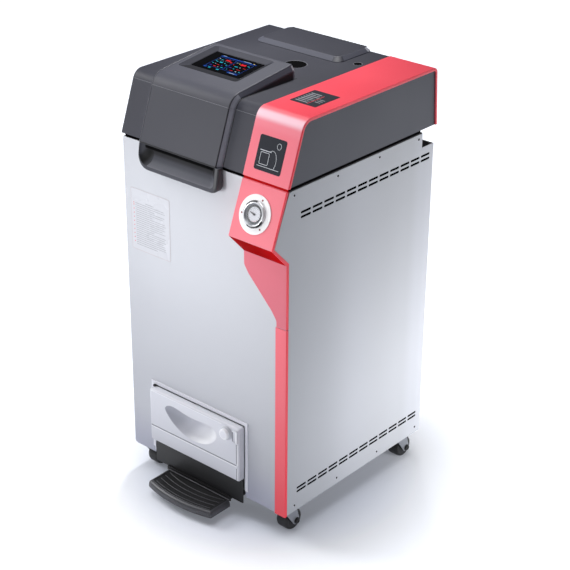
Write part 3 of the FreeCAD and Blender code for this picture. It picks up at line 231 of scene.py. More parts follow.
# Pale pink for the band rim's top: painted highlight.
RIM_HIGHLIGHT = mat("powder_coat_red_edge_painted_highlight", (1.0, 0.115, 0.165), 0.30, var=0.03, vscale=5.0, rvar=0.04, bump=0.06, bscale=1200)
GLINT = mat("moulded_charcoal_glint", (0.36, 0.365, 0.41), 0.40, var=0.05, vscale=12.0, rvar=0.04, bump=0.06)
# Dark red for the console's underside below the knee, a little lighter at its right end: painted shade.
RED_UNDER_SHADE = light_shade_gradient(mat("powder_coat_red_knee_painted_shade", (0.46, 0.0015, 0.003), 0.80, var=0.04, vscale=5.0, rvar=0.04, bump=0.06, bscale=1200, spec=0.02),
                   (1.0, 0.0, 0.0), [(120, (0.33, 0.006, 0.009)), (146, (0.29, 0.0012, 0.002)), (172, (0.30, 0.0008, 0.001)), (243, (0.44, 0.001, 0.003))])
# Side paint darker at the front and lighter towards the rear: painted light and shade.
SIDE_PAINTED_SHADING = light_shade_gradient(mat("powder_coat_light_side_painted_shading", (0.585, 0.60, 0.665), 0.42, var=0.03, vscale=3.0, rvar=0.04, bump=0.10, bscale=1100),
                    (0.0, 1.0, 0.0), [(0, (0.450, 0.466, 0.503)), (110, (0.475, 0.490, 0.528)), (235, (0.525, 0.540, 0.581)), (340, (0.515, 0.528, 0.561)), (420, (0.530, 0.544, 0.577)), (470, (0.585, 0.600, 0.644)), (507, (0.630, 0.645, 0.692))])
# Front paint darker towards the bottom and slightly at the top: painted shade.
FRONT_PAINTED_SHADING = light_shade_gradient(mat("powder_coat_light_front_painted_shading", (0.585, 0.60, 0.665), 0.42, var=0.03, vscale=3.0, rvar=0.04, bump=0.10, bscale=1100),
                     (0.0, 0.0, 1.0), [(0, (0.405, 0.415, 0.508)), (130, (0.505, 0.517, 0.560)), (330, (0.545, 0.558, 0.602)), (560, (0.575, 0.590, 0.634)), (800, (0.555, 0.568, 0.608))])
# Band red with a pale painted highlight across the nose; the front slope is paler and less saturated than the top, a
# painted sheen.
BAND_PAINTED_HIGHLIGHT = light_shade_gradient(mat("powder_coat_red_band_painted_highlight", (0.88, 0.12, 0.16), 0.34, var=0.03, vscale=5.0, rvar=0.04, bump=0.08, bscale=1200), (0.0, 0.6, 0.8),
              [(640.0, (0.84, 0.165, 0.215)), (738.0, (0.86, 0.185, 0.24)), (758.0, (0.89, 0.23, 0.29)), (771.0, (0.95, 0.60, 0.68)),
               (779.0, (0.95, 0.56, 0.64)), (789.0, (0.90, 0.16, 0.20)), (799.0, (0.90, 0.070, 0.105)), (1066.0, (0.90, 0.088, 0.125))])


# Door scoop darker at its upper left and lighter at its lower right: painted shade and light.
SCOOP_SHADE_PAINT = light_shade_gradient(mat("powder_coat_scoop_painted_shade", (0.6, 0.6, 0.66), 0.40, var=0.02, vscale=5.0, rvar=0.04, bump=0.06, bscale=1200), (0.75, 0.0, -0.66),
                     [(-186.0, (0.336, 0.344, 0.403)), (-150.0, (0.381, 0.390, 0.448)), (-118.0, (0.511, 0.517, 0.578)), (-88.0, (0.735, 0.740, 0.788)),
                      (-62.0, (0.833, 0.838, 0.869)), (-50.0, (0.717, 0.722, 0.780))])
# Dark grey for the door's groove lines and the latch plate's left side: painted shade.
GROOVE_SHADE = mat("door_groove_shade", (0.215, 0.220, 0.255), 0.5, var=0.03, vscale=8.0, bump=0.05)
# Door paint darker towards the bottom: painted shade.
DOOR_SHADED_PAINT = light_shade_gradient(mat("powder_coat_door", (0.715, 0.724, 0.790), 0.40, var=0.02, vscale=4.0, rvar=0.04, bump=0.08, bscale=1200),
                    (0.0, 0.0, 1.0), [(50, (0.590, 0.598, 0.655)), (92, (0.665, 0.674, 0.735)), (190, (0.720, 0.729, 0.790))])
# Pale paint for the door's top edge, groove lips and the latch ridge: painted highlight.
LIP_HIGHLIGHT = mat("powder_coat_lip_painted_highlight", (0.86, 0.865, 0.91), 0.34, var=0.02, vscale=8.0, bump=0.05)
# Darker paint for the knob's collar: painted shade.
COLLAR_SHADE = mat("powder_coat_collar_painted_shade", (0.56, 0.565, 0.62), 0.34, var=0.02, vscale=8.0, bump=0.05)
KNOB = mat("powder_coat_knob", (0.88, 0.885, 0.93), 0.30, var=0.02, vscale=8.0, bump=0.05)


# ---- geometry helpers -----------------------------------------------------------------


def signed_area(lp):
    return 0.5 * sum(lp[i][0] * lp[(i + 1) % len(lp)][1] - lp[(i + 1) % len(lp)][0] * lp[i][1] for i in range(len(lp)))


def ccw(lp):
    return list(lp) if signed_area(lp) > 0 else list(reversed(lp))


def inset(lp, d):
    """Counter-clockwise outline moved inwards by d."""
    out, n = [], len(lp)
    for i in range(n):
        a, b, c = Vector(lp[i - 1][:2]), Vector(lp[i][:2]), Vector(lp[(i + 1) % n][:2])
        e1, e2 = (b - a).normalized(), (c - b).normalized()
        n1, n2 = Vector((-e1.y, e1.x)), Vector((-e2.y, e2.x))
        k = max(0.25, 1 + n1.dot(n2))
        p = b + (n1 + n2) * (d / k)
        out.append((p.x, p.y))
    return out


def fillet(pts, radii, n=6, closed=True):
    """Outline with its corners rounded. radii is a number or one per point."""
    m = len(pts)
    rad = [radii] * m if isinstance(radii, (int, float)) else list(radii)
    out = []
    for i in range(m):
        b = Vector(pts[i])
        if (not closed and i in (0, m - 1)) or rad[i] <= 0:
            out.append((b.x, b.y))
            continue
        a, c = Vector(pts[i - 1]), Vector(pts[(i + 1) % m])
        u, v = (a - b).normalized(), (c - b).normalized()
        half = math.acos(max(-1, min(1, u.dot(v)))) / 2
        if half > math.pi / 2 - 0.01:
            out.append((b.x, b.y))
            continue
        t = rad[i] / math.tan(half)
        cen = b + (u + v).normalized() * (rad[i] / math.sin(half))
        p0, p1 = b + u * t, b + v * t
        a0 = math.atan2(p0.y - cen.y, p0.x - cen.x)
        a1 = math.atan2(p1.y - cen.y, p1.x - cen.x)
        d = (a1 - a0 + math.pi) % (2 * math.pi) - math.pi
        for k in range(n + 1):
            w = a0 + d * k / n
            out.append((cen.x + rad[i] * math.cos(w), cen.y + rad[i] * math.sin(w)))
    return out


def rrect(u0, u1, v0, v1, r, n=5):
    return fillet([(u0, v0), (u1, v0), (u1, v1), (u0, v1)], r, n)


def smooth_loop(pts, per=8):
    """Closed Catmull-Rom curve through the points."""
    out, m = [], len(pts)
    for i in range(m):
        p0, p1, p2, p3 = (Vector(pts[(i + k) % m]) for k in (-1, 0, 1, 2))
        for k in range(per):
            t = k / per
            q = 0.5 * ((2 * p1) + (p2 - p0) * t + (2 * p0 - 5 * p1 + 4 * p2 - p3) * t * t + (3 * p1 - p0 - 3 * p2 + p3) * t ** 3)
            out.append((q.x, q.y))
    return out


MAPS = {"X": lambda u, v, w: (w, u, v), "Y": lambda u, v, w: (u, w, v), "Z": lambda u, v, w: (u, v, w)}


class Geo:
    def __init__(self):
        self.v, self.f, self.m = [], [], []

    def add(self, verts, faces, m=0):
        base = len(self.v)
        self.v += [tuple(p) for p in verts]
        self.f += [tuple(i + base for i in f) for f in faces]
        self.m += [m] * len(faces)

    def loft(self, loops, m=0, cap0=True, cap1=True, closed=True):
        n, verts, faces = len(loops[0]), [], []
        for lp in loops:
            verts += lp
        for k in range(len(loops) - 1):
            for i in range(n if closed else n - 1):
                j = (i + 1) % n
                faces.append((k * n + i, k * n + j, (k + 1) * n + j, (k + 1) * n + i))
        if cap0:
            faces.append(tuple(range(n - 1, -1, -1)))
        if cap1:
            faces.append(tuple((len(loops) - 1) * n + i for i in range(n)))
        self.add(verts, faces, m)

    def plate(self, outer, w0, w1, axis="Y", holes=(), bev=0.5, seg=2, m=0, back=True):
        """Flat piece between w0 and w1 with rounded rims, outline and holes given in its plane."""
        to = MAPS[axis]
        loops = [ccw(outer)] + [ccw(h) for h in holes]
        lo, hi = min(w0, w1), max(w0, w1)
        bev = min(bev, (hi - lo) * 0.49)
        rings = []
        for k in range(seg + 1):
            a = math.pi / 2 * k / seg
            rings.append((bev * (1 - math.sin(a)), lo + bev * (1 - math.cos(a))))
        rings = rings + [(d, hi + lo - w) for d, w in reversed(rings)]
        if bev <= 0:
            rings = [(0, lo), (0, hi)]
        ends = {0: [], 1: []}
        for li, lp in enumerate(loops):
            sgn = 1 if li == 0 else -1
            rows = []
            for d, w in rings:
                q = inset(lp, sgn * d) if abs(d) > 1e-9 else lp
                rows.append([to(u, v, w) for u, v in q])
            self.loft(rows, m, False, False)
            ends[0].append([(u, v) for u, v in (inset(lp, sgn * rings[0][0]) if rings[0][0] > 0 else lp)])
            ends[1].append([(u, v) for u, v in (inset(lp, sgn * rings[-1][0]) if rings[-1][0] > 0 else lp)])
        for side, w in ((0, lo), (1, hi)):
            flat = [p for lp in ends[side] for p in lp]
            if len(loops) == 1 and len(flat) <= 4:
                self.add([to(u, v, w) for u, v in flat], [tuple(range(len(flat)))], m)
            else:
                tri = tessellate_polygon([[Vector((u, v, 0)) for u, v in lp] for lp in ends[side]])
                self.add([to(u, v, w) for u, v in flat], tri, m)

    def box(self, x0, x1, y0, y1, z0, z1, m=0, bev=0.0):
        self.plate([(x0, z0), (x1, z0), (x1, z1), (x0, z1)], y0, y1, "Y", bev=bev, m=m)

    def lathe(self, prof, at, normal=(0, 0, 1), n=48, m=0, flat=False):
        """Turned piece: profile of (radius, height) about the normal at a point."""
        k = Vector(normal).normalized()
        e = Vector((1, 0, 0)) if abs(k.x) < 0.9 else Vector((0, 1, 0))
        e1 = (e - k * e.dot(k)).normalized()
        e2 = k.cross(e1)
        loops = []
        for r, h in prof:
            loops.append([tuple(Vector(at) + k * h + (e1 * math.cos(2 * math.pi * i / n) + e2 * math.sin(2 * math.pi * i / n)) * max(r, 1e-4))
                          for i in range(n)])
        self.loft(loops, m, prof[0][0] > 0.01, prof[-1][0] > 0.01)

    def tube(self, path, r, n=8, m=0):
        pts = [Vector(p) for p in path]
        loops, ref = [], None
        for i, p in enumerate(pts):
            t = (pts[min(i + 1, len(pts) - 1)] - pts[max(i - 1, 0)]).normalized()
            if ref is None:
                ref = Vector((0, 0, 1)) if abs(t.z) < 0.9 else Vector((1, 0, 0))
            ref = (ref - t * ref.dot(t)).normalized()
            s = t.cross(ref)
            loops.append([tuple(p + (ref * math.cos(2 * math.pi * k / n) + s * math.sin(2 * math.pi * k / n)) * r) for k in range(n)])
        self.loft(loops, m)


def build(name, geo, mats, body, stands=(), angle=35, bevel=0.0, seg=2, weighted=True):
    me = bpy.data.meshes.new(name)
    me.from_pydata([P(*v) for v in geo.v], [], geo.f)
    mats = mats if isinstance(mats, (list, tuple)) else [mats]
    for m in mats:
        me.materials.append(m)
    me.polygons.foreach_set("material_index", geo.m)
    bm = bmesh.new()
    bm.from_mesh(me)
    bmesh.ops.remove_doubles(bm, verts=bm.verts, dist=2e-6)
    bmesh.ops.dissolve_degenerate(bm, edges=bm.edges, dist=1e-7)
    bmesh.ops.recalc_face_normals(bm, faces=bm.faces)
    bm.to_mesh(me)
    bm.free()
    me.shade_smooth()
    me.set_sharp_from_angle(angle=math.radians(angle))
    ob = bpy.data.objects.new(name, me)
    bpy.context.scene.collection.objects.link(ob)
    if bevel > 0:
        bv = ob.modifiers.new("edge", "BEVEL")
        bv.width = bevel * MM
        bv.segments = seg
        bv.limit_method = "ANGLE"
        bv.angle_limit = math.radians(35)
        bv.harden_normals = False
    if weighted:
        wn = ob.modifiers.new("weighted", "WEIGHTED_NORMAL")
        wn.keep_sharp = True
    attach(ob, body)
    if stands:
        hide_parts(*stands)
    return ob


def baked(ob):
    """Replaces an object's mesh by its evaluated one and drops its modifiers."""
    bpy.context.view_layer.update()
    dg = bpy.context.evaluated_depsgraph_get()
    me = bpy.data.meshes.new_from_object(ob.evaluated_get(dg))
    ob.modifiers.clear()
    ob.data = me
    return ob


def carve(ob, *geos):
    """Cuts closed shapes out of an object."""
    for g in geos:
        me = bpy.data.meshes.new("cutter")
        me.from_pydata([P(*v) for v in g.v], [], g.f)
        bm = bmesh.new()
        bm.from_mesh(me)
        bmesh.ops.remove_doubles(bm, verts=bm.verts, dist=2e-6)
        bmesh.ops.recalc_face_normals(bm, faces=bm.faces)
        bm.to_mesh(me)
        bm.free()
        c = bpy.data.objects.new("cutter", me)
        bpy.context.scene.collection.objects.link(c)
        mod = ob.modifiers.new("cut", "BOOLEAN")
        mod.operation = "DIFFERENCE"
        mod.solver = "EXACT"
        mod.object = c
        baked(ob)
        bpy.data.objects.remove(c)
    return ob


def finish_shade(ob, angle=35, bevel=0.0, seg=2):
    ob.data.shade_smooth()
    ob.data.set_sharp_from_angle(angle=math.radians(angle))
    if bevel > 0:
        bv = ob.modifiers.new("edge", "BEVEL")
        bv.width = bevel * MM
        bv.segments = seg
        bv.limit_method = "ANGLE"
        bv.angle_limit = math.radians(35)
    wn = ob.modifiers.new("weighted", "WEIGHTED_NORMAL")
    wn.keep_sharp = True
    return ob


def thicken(ob, t):
    so = ob.modifiers.new("wall", "SOLIDIFY")
    so.thickness = t * MM
    so.offset = -1.0
    so.use_even_offset = True
    return baked(ob)


# ---- cover ----------------------------------------------------------------------------

LB, LZ, CY, CZ = 806.0, 942.0, 43.3, 923.5
FRONT_K = (CY - 1.4) / (CZ - LB)


def lid_outline(o, low=LB, n1=14, n2=8):
    """Side outline of the cover moved out by o, from its front foot over the top to its rear foot."""
    f1, f2 = Vector((1.4, LB)), Vector((1.4 + FRONT_K * (LZ - LB), LZ))
    r1, r2 = Vector((505.0, LZ)), Vector((513.8, LB))
    d1, d2 = (f2 - f1).normalized(), (r2 - r1).normalized()
    nf, nr = Vector((-d1.y, d1.x)), Vector((-d2.y, d2.x))
    a = f1 + nf * o
    a = a + d1 * ((low - a.y) / d1.y)
    top = LZ + o
    i1 = a + d1 * ((top - a.y) / d1.y)
    b = r2 + nr * o
    i2 = b + d2 * ((top - b.y) / d2.y)
    b = b + d2 * ((low - b.y) / d2.y)
    pts = [(a.x, a.y), (i1.x, i1.y), (i2.x, i2.y), (b.x, b.y)]
    p = [pts[0]] + fillet(pts, [0, max(2.0, 27.8 + o), 0, 0], n1, False)[1:-2]
    p += fillet(pts, [0, 0, max(2.0, 12 + o), 0], n2, False)[2:]
    return p


def shell(g, sections, m=0, end0=True, end1=True):
    """Skin over side outlines at several x. sections: (x, outward offset)."""
    rows = [[(x, y, z) for y, z in lid_outline(o)] for x, o in sections]
    g.loft(rows, m, False, False, closed=False)
    n = len(rows[0])
    if end0:
        g.add(rows[0], [tuple(range(n))], m)
    if end1:
        g.add(rows[-1], [tuple(range(n))], m)


def quarter(x0, sgn, r, o=0.0, n=5):
    """Sections that round an end: from the flat side in to the full outline."""
    return [(x0 + sgn * r * (1 - math.cos(math.pi / 2 * k / n)), o - r * (1 - math.sin(math.pi / 2 * k / n))) for k in range(n + 1)]


g = Geo()
shell(g, quarter(-250.0, 1, 3.2) + [(240.0, 0.0)])
cover = build("cover_shell", g, CHAR, "lid", ["lid_cover"], weighted=False)
thicken(cover, 2.6)
hole_big, hole_small = Geo(), Geo()
hole_big.lathe([(0, 905), (26.5, 905), (26.5, 950), (0, 950)], (-5, 310, 0), n=64)
hole_small.lathe([(0, 905), (10, 905), (10, 950), (0, 950)], (97, 406, 0), n=40)
carve(cover, hole_big, hole_small)
finish_shade(cover)
# Pale rims round the two holes: painted highlight.
g = Geo()
for (x, y, r) in ((-5, 310, 26.5), (97, 406, 10)):
    g.lathe([(r - 0.5, LZ - 1.2), (r - 0.3, LZ - 0.1), (r + 0.1, LZ + 0.18), (r + 0.7, LZ + 0.18), (r + 1.0, LZ - 0.1), (r + 0.4, LZ - 1.2)], (x, y, 0), n=64)
build("cover_hole_rims_painted_highlight", g, CHAR_EDGE_HIGHLIGHT, "lid")
# Near-black wells under the holes: painted shade inside them.
g = Geo()
for (x, y, r) in ((-5, 310, 26.5), (97, 406, 10)):
    g.lathe([(r - 0.2, LZ - 0.5), (r - 0.9, LZ - 0.9), (r - 1.2, 925.0), (r - 2.0, 920.0), (0, 920.0)], (x, y, 0), n=64)
build("cover_hole_wells_painted_shade", g, SHADE_FILL, "lid")
# Near-black strips behind the joint between the cover and the cabinet: painted shade in the gap.
g = Geo()
g.box(-238.5, 238.5, 5.0, 7.0, 798.0, 809.5)
g.box(-239.5, -237.5, 5.0, 458.0, 797.0, 809.5)
g.box(237.6, 239.6, 5.0, 458.0, 797.0, 809.5)
build("cover_gap_painted_shade", g, SHADE_FILL, "lid")

# Pale line along the cover's crease: painted highlight.
g = Geo()
face = 0.15
crease = [(x, CY - face, CZ + face * 0.4) for x in (-246.5, -183.8)]
g.tube(crease, 0.42, 8)
g.tube([(x, CY - face, CZ + face * 0.4) for x in (60.2, 117.6)], 0.42, 8)
build("cover_crease_painted_highlight", g, CHAR_EDGE_HIGHLIGHT, "lid")

g = Geo()
o_in = -0.4
shell(g, [(240.15, o_in), (241.6, o_in)])
build("cover_side_infill", g, INFILL, "lid", ["side_infill"])

# Red band: one bent sheet with a narrow rim on the right side.
g = Geo()
B = 1.25
sec = [(118.0, 0.1), (118.15, B - 0.35), (118.6, B)]
sec += [(x, o) for x, o in reversed(quarter(245.0, -1, 2.6, B, 6))]
sec += [(245.0, -4.6), (244.8, -5.3), (242.0, -5.6)]
shell(g, sec, end0=False, end1=False)
# Rim faces take painted light: the pale pink highlight along the top, the brighter red down the side.
for i, f in enumerate(g.f):
    if min(g.v[j][0] for j in f) > 243.6:
        g.m[i] = 2 if min(g.v[j][2] for j in f) > 915.0 and min(g.v[j][0] for j in f) < 244.9 else 1
band = build("band_sheet", g, [BAND_PAINTED_HIGHLIGHT, RED_LIT_EDGE, RIM_HIGHLIGHT], "lid", ["red_band"], weighted=False)
thicken(band, 1.15)
finish_shade(band)

# ---- control pod ----------------------------------------------------------------------

TOPK = 0.11543


def top_z(y):
    return 952.5 + (y - 50) * TOPK


FK = 0.361
iz = (952.5 + (-13.5 - FK * 807.5 - 50) * TOPK) / (1 - FK * TOPK)
iy = -13.5 + FK * (iz - 807.5)
pod_base = [(-13.5, 807.5), (iy, iz), (238.0, top_z(238.0)), (247.0, LZ + 0.2)]
nose = fillet(pod_base, [0, 40.0, 0, 0], 16, False)
prof = [nose[0]]
z_cr = nose[1][1]
for k in range(1, 6):
    t = k / 6
    prof.append((nose[0][0] + (nose[1][0] - nose[0][0]) * t, nose[0][1] + (nose[1][1] - nose[0][1]) * t))
prof += nose[1:-2]
POD_Y0, POD_Y1 = 92.0, 228.0
prof += [(POD_Y0, top_z(POD_Y0)), (POD_Y1, top_z(POD_Y1))]
tail = fillet(pod_base, [0, 0, 9.0, 0], 8, False)
prof += tail[2:]
cov = [Vector(p) for p in lid_outline(-0.4, n1=40, n2=8)]
dense = []
for a, b in zip(cov, cov[1:]):
    steps = max(1, int((b - a).length / 1.0))
    dense += [a + (b - a) * (i / steps) for i in range(steps)]
foot = []
for y, z in prof:
    q = min(dense, key=lambda c: (c.x - y) ** 2 + (c.y - z) ** 2)
    foot.append((q.x, q.y))
foot[-1] = (247.0, LZ - 0.5)
POD_L, POD_R = -184.0, 60.0
SHOULDER = [(0.0, 99.0), (0.5, 14.6), (0.9, 12.2), (1.6, 10.6), (6.6, 2.6), (7.2, 1.6), (8.0, 0.7), (9.0, 0.16), (9.8, 0.0)]


def plan_in(y, y1, r):
    d = max(0.0, min(r, y - (y1 - r)))
    return r - math.sqrt(max(0.0, r * r - d * d))


rows = []
for (y, z), (by, bz) in zip(prof, foot):
    ins = plan_in(y, 247.5, 25.0)
    proud = max(0.6, math.hypot(y - by, z - bz))
    fit = min(1.0, proud / 16.5)
    row = []
    for a, d in SHOULDER:
        t = 1.0 if d > 90 else d * fit / proud
        row.append((POD_R - a - ins, y + (by - y) * t, z + (bz - z) * t))
    row += [(26.0, y, z), (-170.0, y, z)]
    for a, d in reversed(SHOULDER):
        t = 1.0 if d > 90 else d * fit / proud
        row.append((POD_L + a + ins, y + (by - y) * t, z + (bz - z) * t))
    rows.append(row)
g = Geo()
nc = len(rows[0])
verts = [p for r in rows for p in r]
faces = []
skip_row = prof.index((POD_Y0, top_z(POD_Y0)))
skip_col = len(SHOULDER)
for i in range(len(rows) - 1):
    for j in range(nc - 1):
        if i == skip_row and j == skip_col:
            continue
        faces.append((i * nc + j, i * nc + j + 1, (i + 1) * nc + j + 1, (i + 1) * nc + j))
faces.append(tuple(range(nc)))
last = len(SHOULDER) * 2
nose_end = next(i for i, (y, z) in enumerate(prof) if y > 60.0)
tail_start = next(i for i, (y, z) in enumerate(prof) if y > 218.0)


# Which charcoal copy each pod face takes, by place: lighter copies (painted light) for the shoulders, front flanks, top
# and rear end, the glint on the rear right corner (painted highlight), a darker copy (painted shade) for the lower
# walls, and for the face a grade that lightens over the nose (painted light).
def pod_light_shade_slot(f):
    r_, c_ = divmod(f[0], nc)
    if len(f) != 4:
        return 0
    if 4 <= c_ <= last - 4:
        return 7 if r_ < nose_end else 6
    if r_ < nose_end - 1:
        return 3
    if r_ >= tail_start and 1 <= c_ <= 3:
        return 8
    if r_ >= tail_start:
        return 3
    return 2 if c_ in (0, last) else 1


tone = [pod_light_shade_slot(f) for f in faces]
for kind in (0, 1, 2, 3, 6, 7, 8):
    g.add(verts, [f for f, t in zip(faces, tone) if t == kind], kind)


def slope_pt(x, y, h):
    """Point over the pod's sloped top, h above it."""
    a = math.atan(TOPK)
    return (x, y - h * math.sin(a), top_z(y) + h * math.cos(a))


rec = [(-164.0, 11.0, 98.0, 224.0, 8.0, 0.0), (-163.5, 10.5, 98.6, 223.5, 7.6, -0.12), (-162.9, 9.9, 99.4, 222.9, 7.2, -0.45),
       (-149.4, -1.6, 120.0, 210.4, 4.0, -4.3), (-148.2, -2.8, 121.6, 209.0, 3.6, -4.9), (-147.6, -3.4, 122.4, 208.2, 3.2, -6.2)]
rec_loops = [ccw(rrect(a, b, c, d, r, 6)) for a, b, c, d, r, h in rec]
rec_outer = rec_loops[0]
flat = [(-170.0, POD_Y0), (26.0, POD_Y0), (26.0, POD_Y1), (-170.0, POD_Y1)]
tri = tessellate_polygon([[Vector((u, v, 0)) for u, v in flat], [Vector((u, v, 0)) for u, v in rec_outer]])
g.add([slope_pt(u, v, 0) for u, v in flat + rec_outer], tri, 6)
base_f = len(g.f)
# Screen well walls take dark charcoal, painted shade; the left wall a lighter painted shade; the far wall the plain
# charcoal.
g.loft([[slope_pt(u, v, r[5]) for u, v in lp] for lp, r in zip(rec_loops, rec)], 4, False, True)
for i in range(base_f, len(g.f)):
    c = sum((Vector(g.v[k]) for k in g.f[i]), Vector()) / len(g.f[i])
    if c.x < -146.0 and 102.0 < c.y < 221.0:
        g.m[i] = 5
    elif c.y > 206.0:
        g.m[i] = 0
# Pod face charcoal that lightens upward over the nose: painted light.
POD_NOSE_LIGHT = light_shade_gradient(mat("moulded_charcoal_pod_painted_nose_light", (0.030, 0.031, 0.045), 0.48, var=0.05, vscale=5.0, rvar=0.04, bump=0.14, bscale=1600),
                   (0.0, 0.0, 1.0), [(807, (0.0305, 0.0315, 0.0455)), (z_cr - 1.0, (0.0305, 0.0315, 0.0455)), (z_cr + 4.0, (0.036, 0.037, 0.053)), (z_cr + 24.0, (0.048, 0.0495, 0.069))])
pod = build("control_pod_shell", g, [CHAR, CHAR_LIT_SIDE, CHAR_SHADED, CHAR_LIT_FLANK, POD_WELL_SHADE, POD_WELL_SIDE_SHADE, POD_TOP_LIT, POD_NOSE_LIGHT, GLINT], "lid", ["control_pod"], angle=32)

# Fine edge lines of the pod: its crease and the face's left edge, drawn pale as painted highlight lines, and the foot
# of the right wall.
g = Geo()
ci = min(range(len(prof)), key=lambda i: abs(prof[i][1] - z_cr) + (0 if i > 0 else 99))
line = [(x, y - 0.1, z + 0.05) for x, y, z in rows[ci]]
g.tube(line, 0.40, 8)
left_edge = [(POD_L + 8.6 + plan_in(y, 247.5, 25.0), y - 0.1, z + 0.1) for (y, z) in prof[:-8]]
g.tube(left_edge, 0.55, 8)
build("pod_edge_highlight_lines", g, CHAR_EDGE_HIGHLIGHT, "lid")
g = Geo()
g.tube([(rows[i][6][0], rows[i][6][1] - 0.1, rows[i][6][2]) for i in range(0, ci + 12)], 0.55, 8)
build("pod_face_joint", g, BLACK, "lid")
g = Geo()
g.tube([(POD_R + 0.4, by - 0.2, bz + 0.2) for (by, bz) in foot[:-1]], 0.9, 8)
build("pod_foot_gap", g, BLACK, "lid")

# Touch screen with a plain generic layout.
g = Geo()


def slab(outline, h0, h1, m, bev=0.0):
    lp = ccw(outline)
    rings = [(0, h0), (0, h1 - bev), (bev * 0.3, h1 - bev * 0.3), (bev, h1)] if bev else [(0, h0), (0, h1)]
    g.loft([[slope_pt(u, v, h) for u, v in (inset(lp, d) if d else lp)] for d, h in rings], m)


slab(rrect(-146.8, -4.2, 123.2, 207.4, 3.0, 4), -8.0, -5.2, 0, 0.5)
SX0, SX1, SY0, SY1 = -121.5, -18.5, 129.0, 198.5
hs = -5.15


def ui(u0, u1, v0, v1, m, r=1.0, h=0.08):
    """Block on the screen in shares of its width and height."""
    x0, x1 = SX0 + (SX1 - SX0) * u0, SX0 + (SX1 - SX0) * u1
    y0, y1 = SY0 + (SY1 - SY0) * v0, SY0 + (SY1 - SY0) * v1
    r = min(r, (x1 - x0) * 0.45, (y1 - y0) * 0.45)
    slab(rrect(x0, x1, y0, y1, r, 3), hs - 0.3, hs + h, m)


def ui_frame(u0, u1, v0, v1, m, t=0.008):
    tv = t * (SX1 - SX0) / (SY1 - SY0)
    ui(u0, u1, v0, v0 + tv, m, 0.2)
    ui(u0, u1, v1 - tv, v1, m, 0.2)
    ui(u0, u0 + t, v0 + tv, v1 - tv, m, 0.2)
    ui(u1 - t, u1, v0 + tv, v1 - tv, m, 0.2)


ui_frame(0.02, 0.49, 0.15, 0.87, 1, 0.007)
ui_frame(0.51, 0.98, 0.15, 0.87, 1, 0.007)
ui(0.0, 1.0, 0.925, 0.965, 1, 0.3)
for k, (u0, u1, v0, v1, m) in enumerate([
        (0.05, 0.10, 0.72, 0.80, 5), (0.12, 0.20, 0.70, 0.76, 2), (0.24, 0.38, 0.70, 0.82, 3), (0.40, 0.46, 0.60, 0.78, 3),
        (0.05, 0.09, 0.54, 0.64, 2), (0.11, 0.15, 0.50, 0.60, 2), (0.18, 0.29, 0.47, 0.63, 2), (0.32, 0.37, 0.50, 0.58, 2),
        (0.05, 0.12, 0.38, 0.44, 2), (0.15, 0.18, 0.36, 0.44, 5), (0.22, 0.30, 0.34, 0.40, 3), (0.33, 0.38, 0.34, 0.42, 4),
        (0.41, 0.46, 0.42, 0.52, 2), (0.06, 0.16, 0.22, 0.29, 4), (0.19, 0.28, 0.20, 0.28, 3), (0.31, 0.35, 0.20, 0.28, 5), (0.38, 0.46, 0.22, 0.30, 2),
        (0.54, 0.60, 0.74, 0.82, 5), (0.62, 0.66, 0.72, 0.80, 6), (0.68, 0.84, 0.66, 0.82, 3), (0.87, 0.95, 0.70, 0.78, 2),
        (0.54, 0.58, 0.56, 0.66, 3), (0.61, 0.73, 0.48, 0.60, 2), (0.76, 0.80, 0.50, 0.58, 5), (0.84, 0.95, 0.52, 0.58, 3),
        (0.54, 0.64, 0.36, 0.44, 4), (0.67, 0.72, 0.34, 0.42, 2), (0.75, 0.90, 0.36, 0.41, 3), (0.55, 0.60, 0.21, 0.29, 2),
        (0.64, 0.76, 0.22, 0.27, 3), (0.80, 0.86, 0.20, 0.29, 5), (0.89, 0.95, 0.22, 0.30, 2)]):
    uc, vc = (u0 + u1) / 2, (v0 + v1) / 2
    big = m == 3 and v0 > 0.6
    ku, kv = (0.44, 0.30) if big else (0.36, 0.19)
    ui(uc - (u1 - u0) * ku, uc + (u1 - u0) * ku, vc - (v1 - v0) * kv, vc + (v1 - v0) * kv, m, 0.6)
for u0, u1, m in ((0.02, 0.10, 1), (0.15, 0.21, 2), (0.38, 0.45, 2), (0.70, 0.98, 1)):
    ui(u0, u1, 0.05, 0.11, m, 0.6)
ui(0.75, 0.90, 0.065, 0.095, 5, 0.3, 0.14)
ui(0.03, 0.14, 0.975, 0.995, 5, 0.2)
ui(0.62, 0.84, 0.972, 0.995, 5, 0.3)
ui(0.90, 0.94, 0.972, 0.995, 6, 0.3)
for k in range(7):
    ui(0.06 + 0.058 * k, 0.078 + 0.058 * k, 0.655, 0.668, 5, 0.2)
build("touch_screen_panel", g, [SCREEN, UI_BLUE, UI_CYAN, UI_RED, UI_PURPLE, UI_PALE, UI_AMBER], "lid", ["touch_screen"])

# ---- handle ---------------------------------------------------------------------------


def hy(z, d=0.0):
    return -16.5 - (807.0 - z) * 0.165 + d


def hloop(x0, x1, z0, z1, rb, rt, y=None, d=0.0, n=8):
    lp = fillet([(x0, z0), (x1, z0), (x1, z1), (x0, z1)], [rb, rb, rt, rt], n)
    return [(u, (y if y is not None else hy(v, d)), v) for u, v in lp]




def hrect(x0, x1, z0, z1, rl, rr, y=None, d=0.0, n=8):
    lp = fillet([(x0, z0), (x1, z0), (x1, z1), (x0, z1)], [rl, rr, 1.6, 1.6], n)
    return [(u, (y if y is not None else hy(v, d)), v) for u, v in lp]


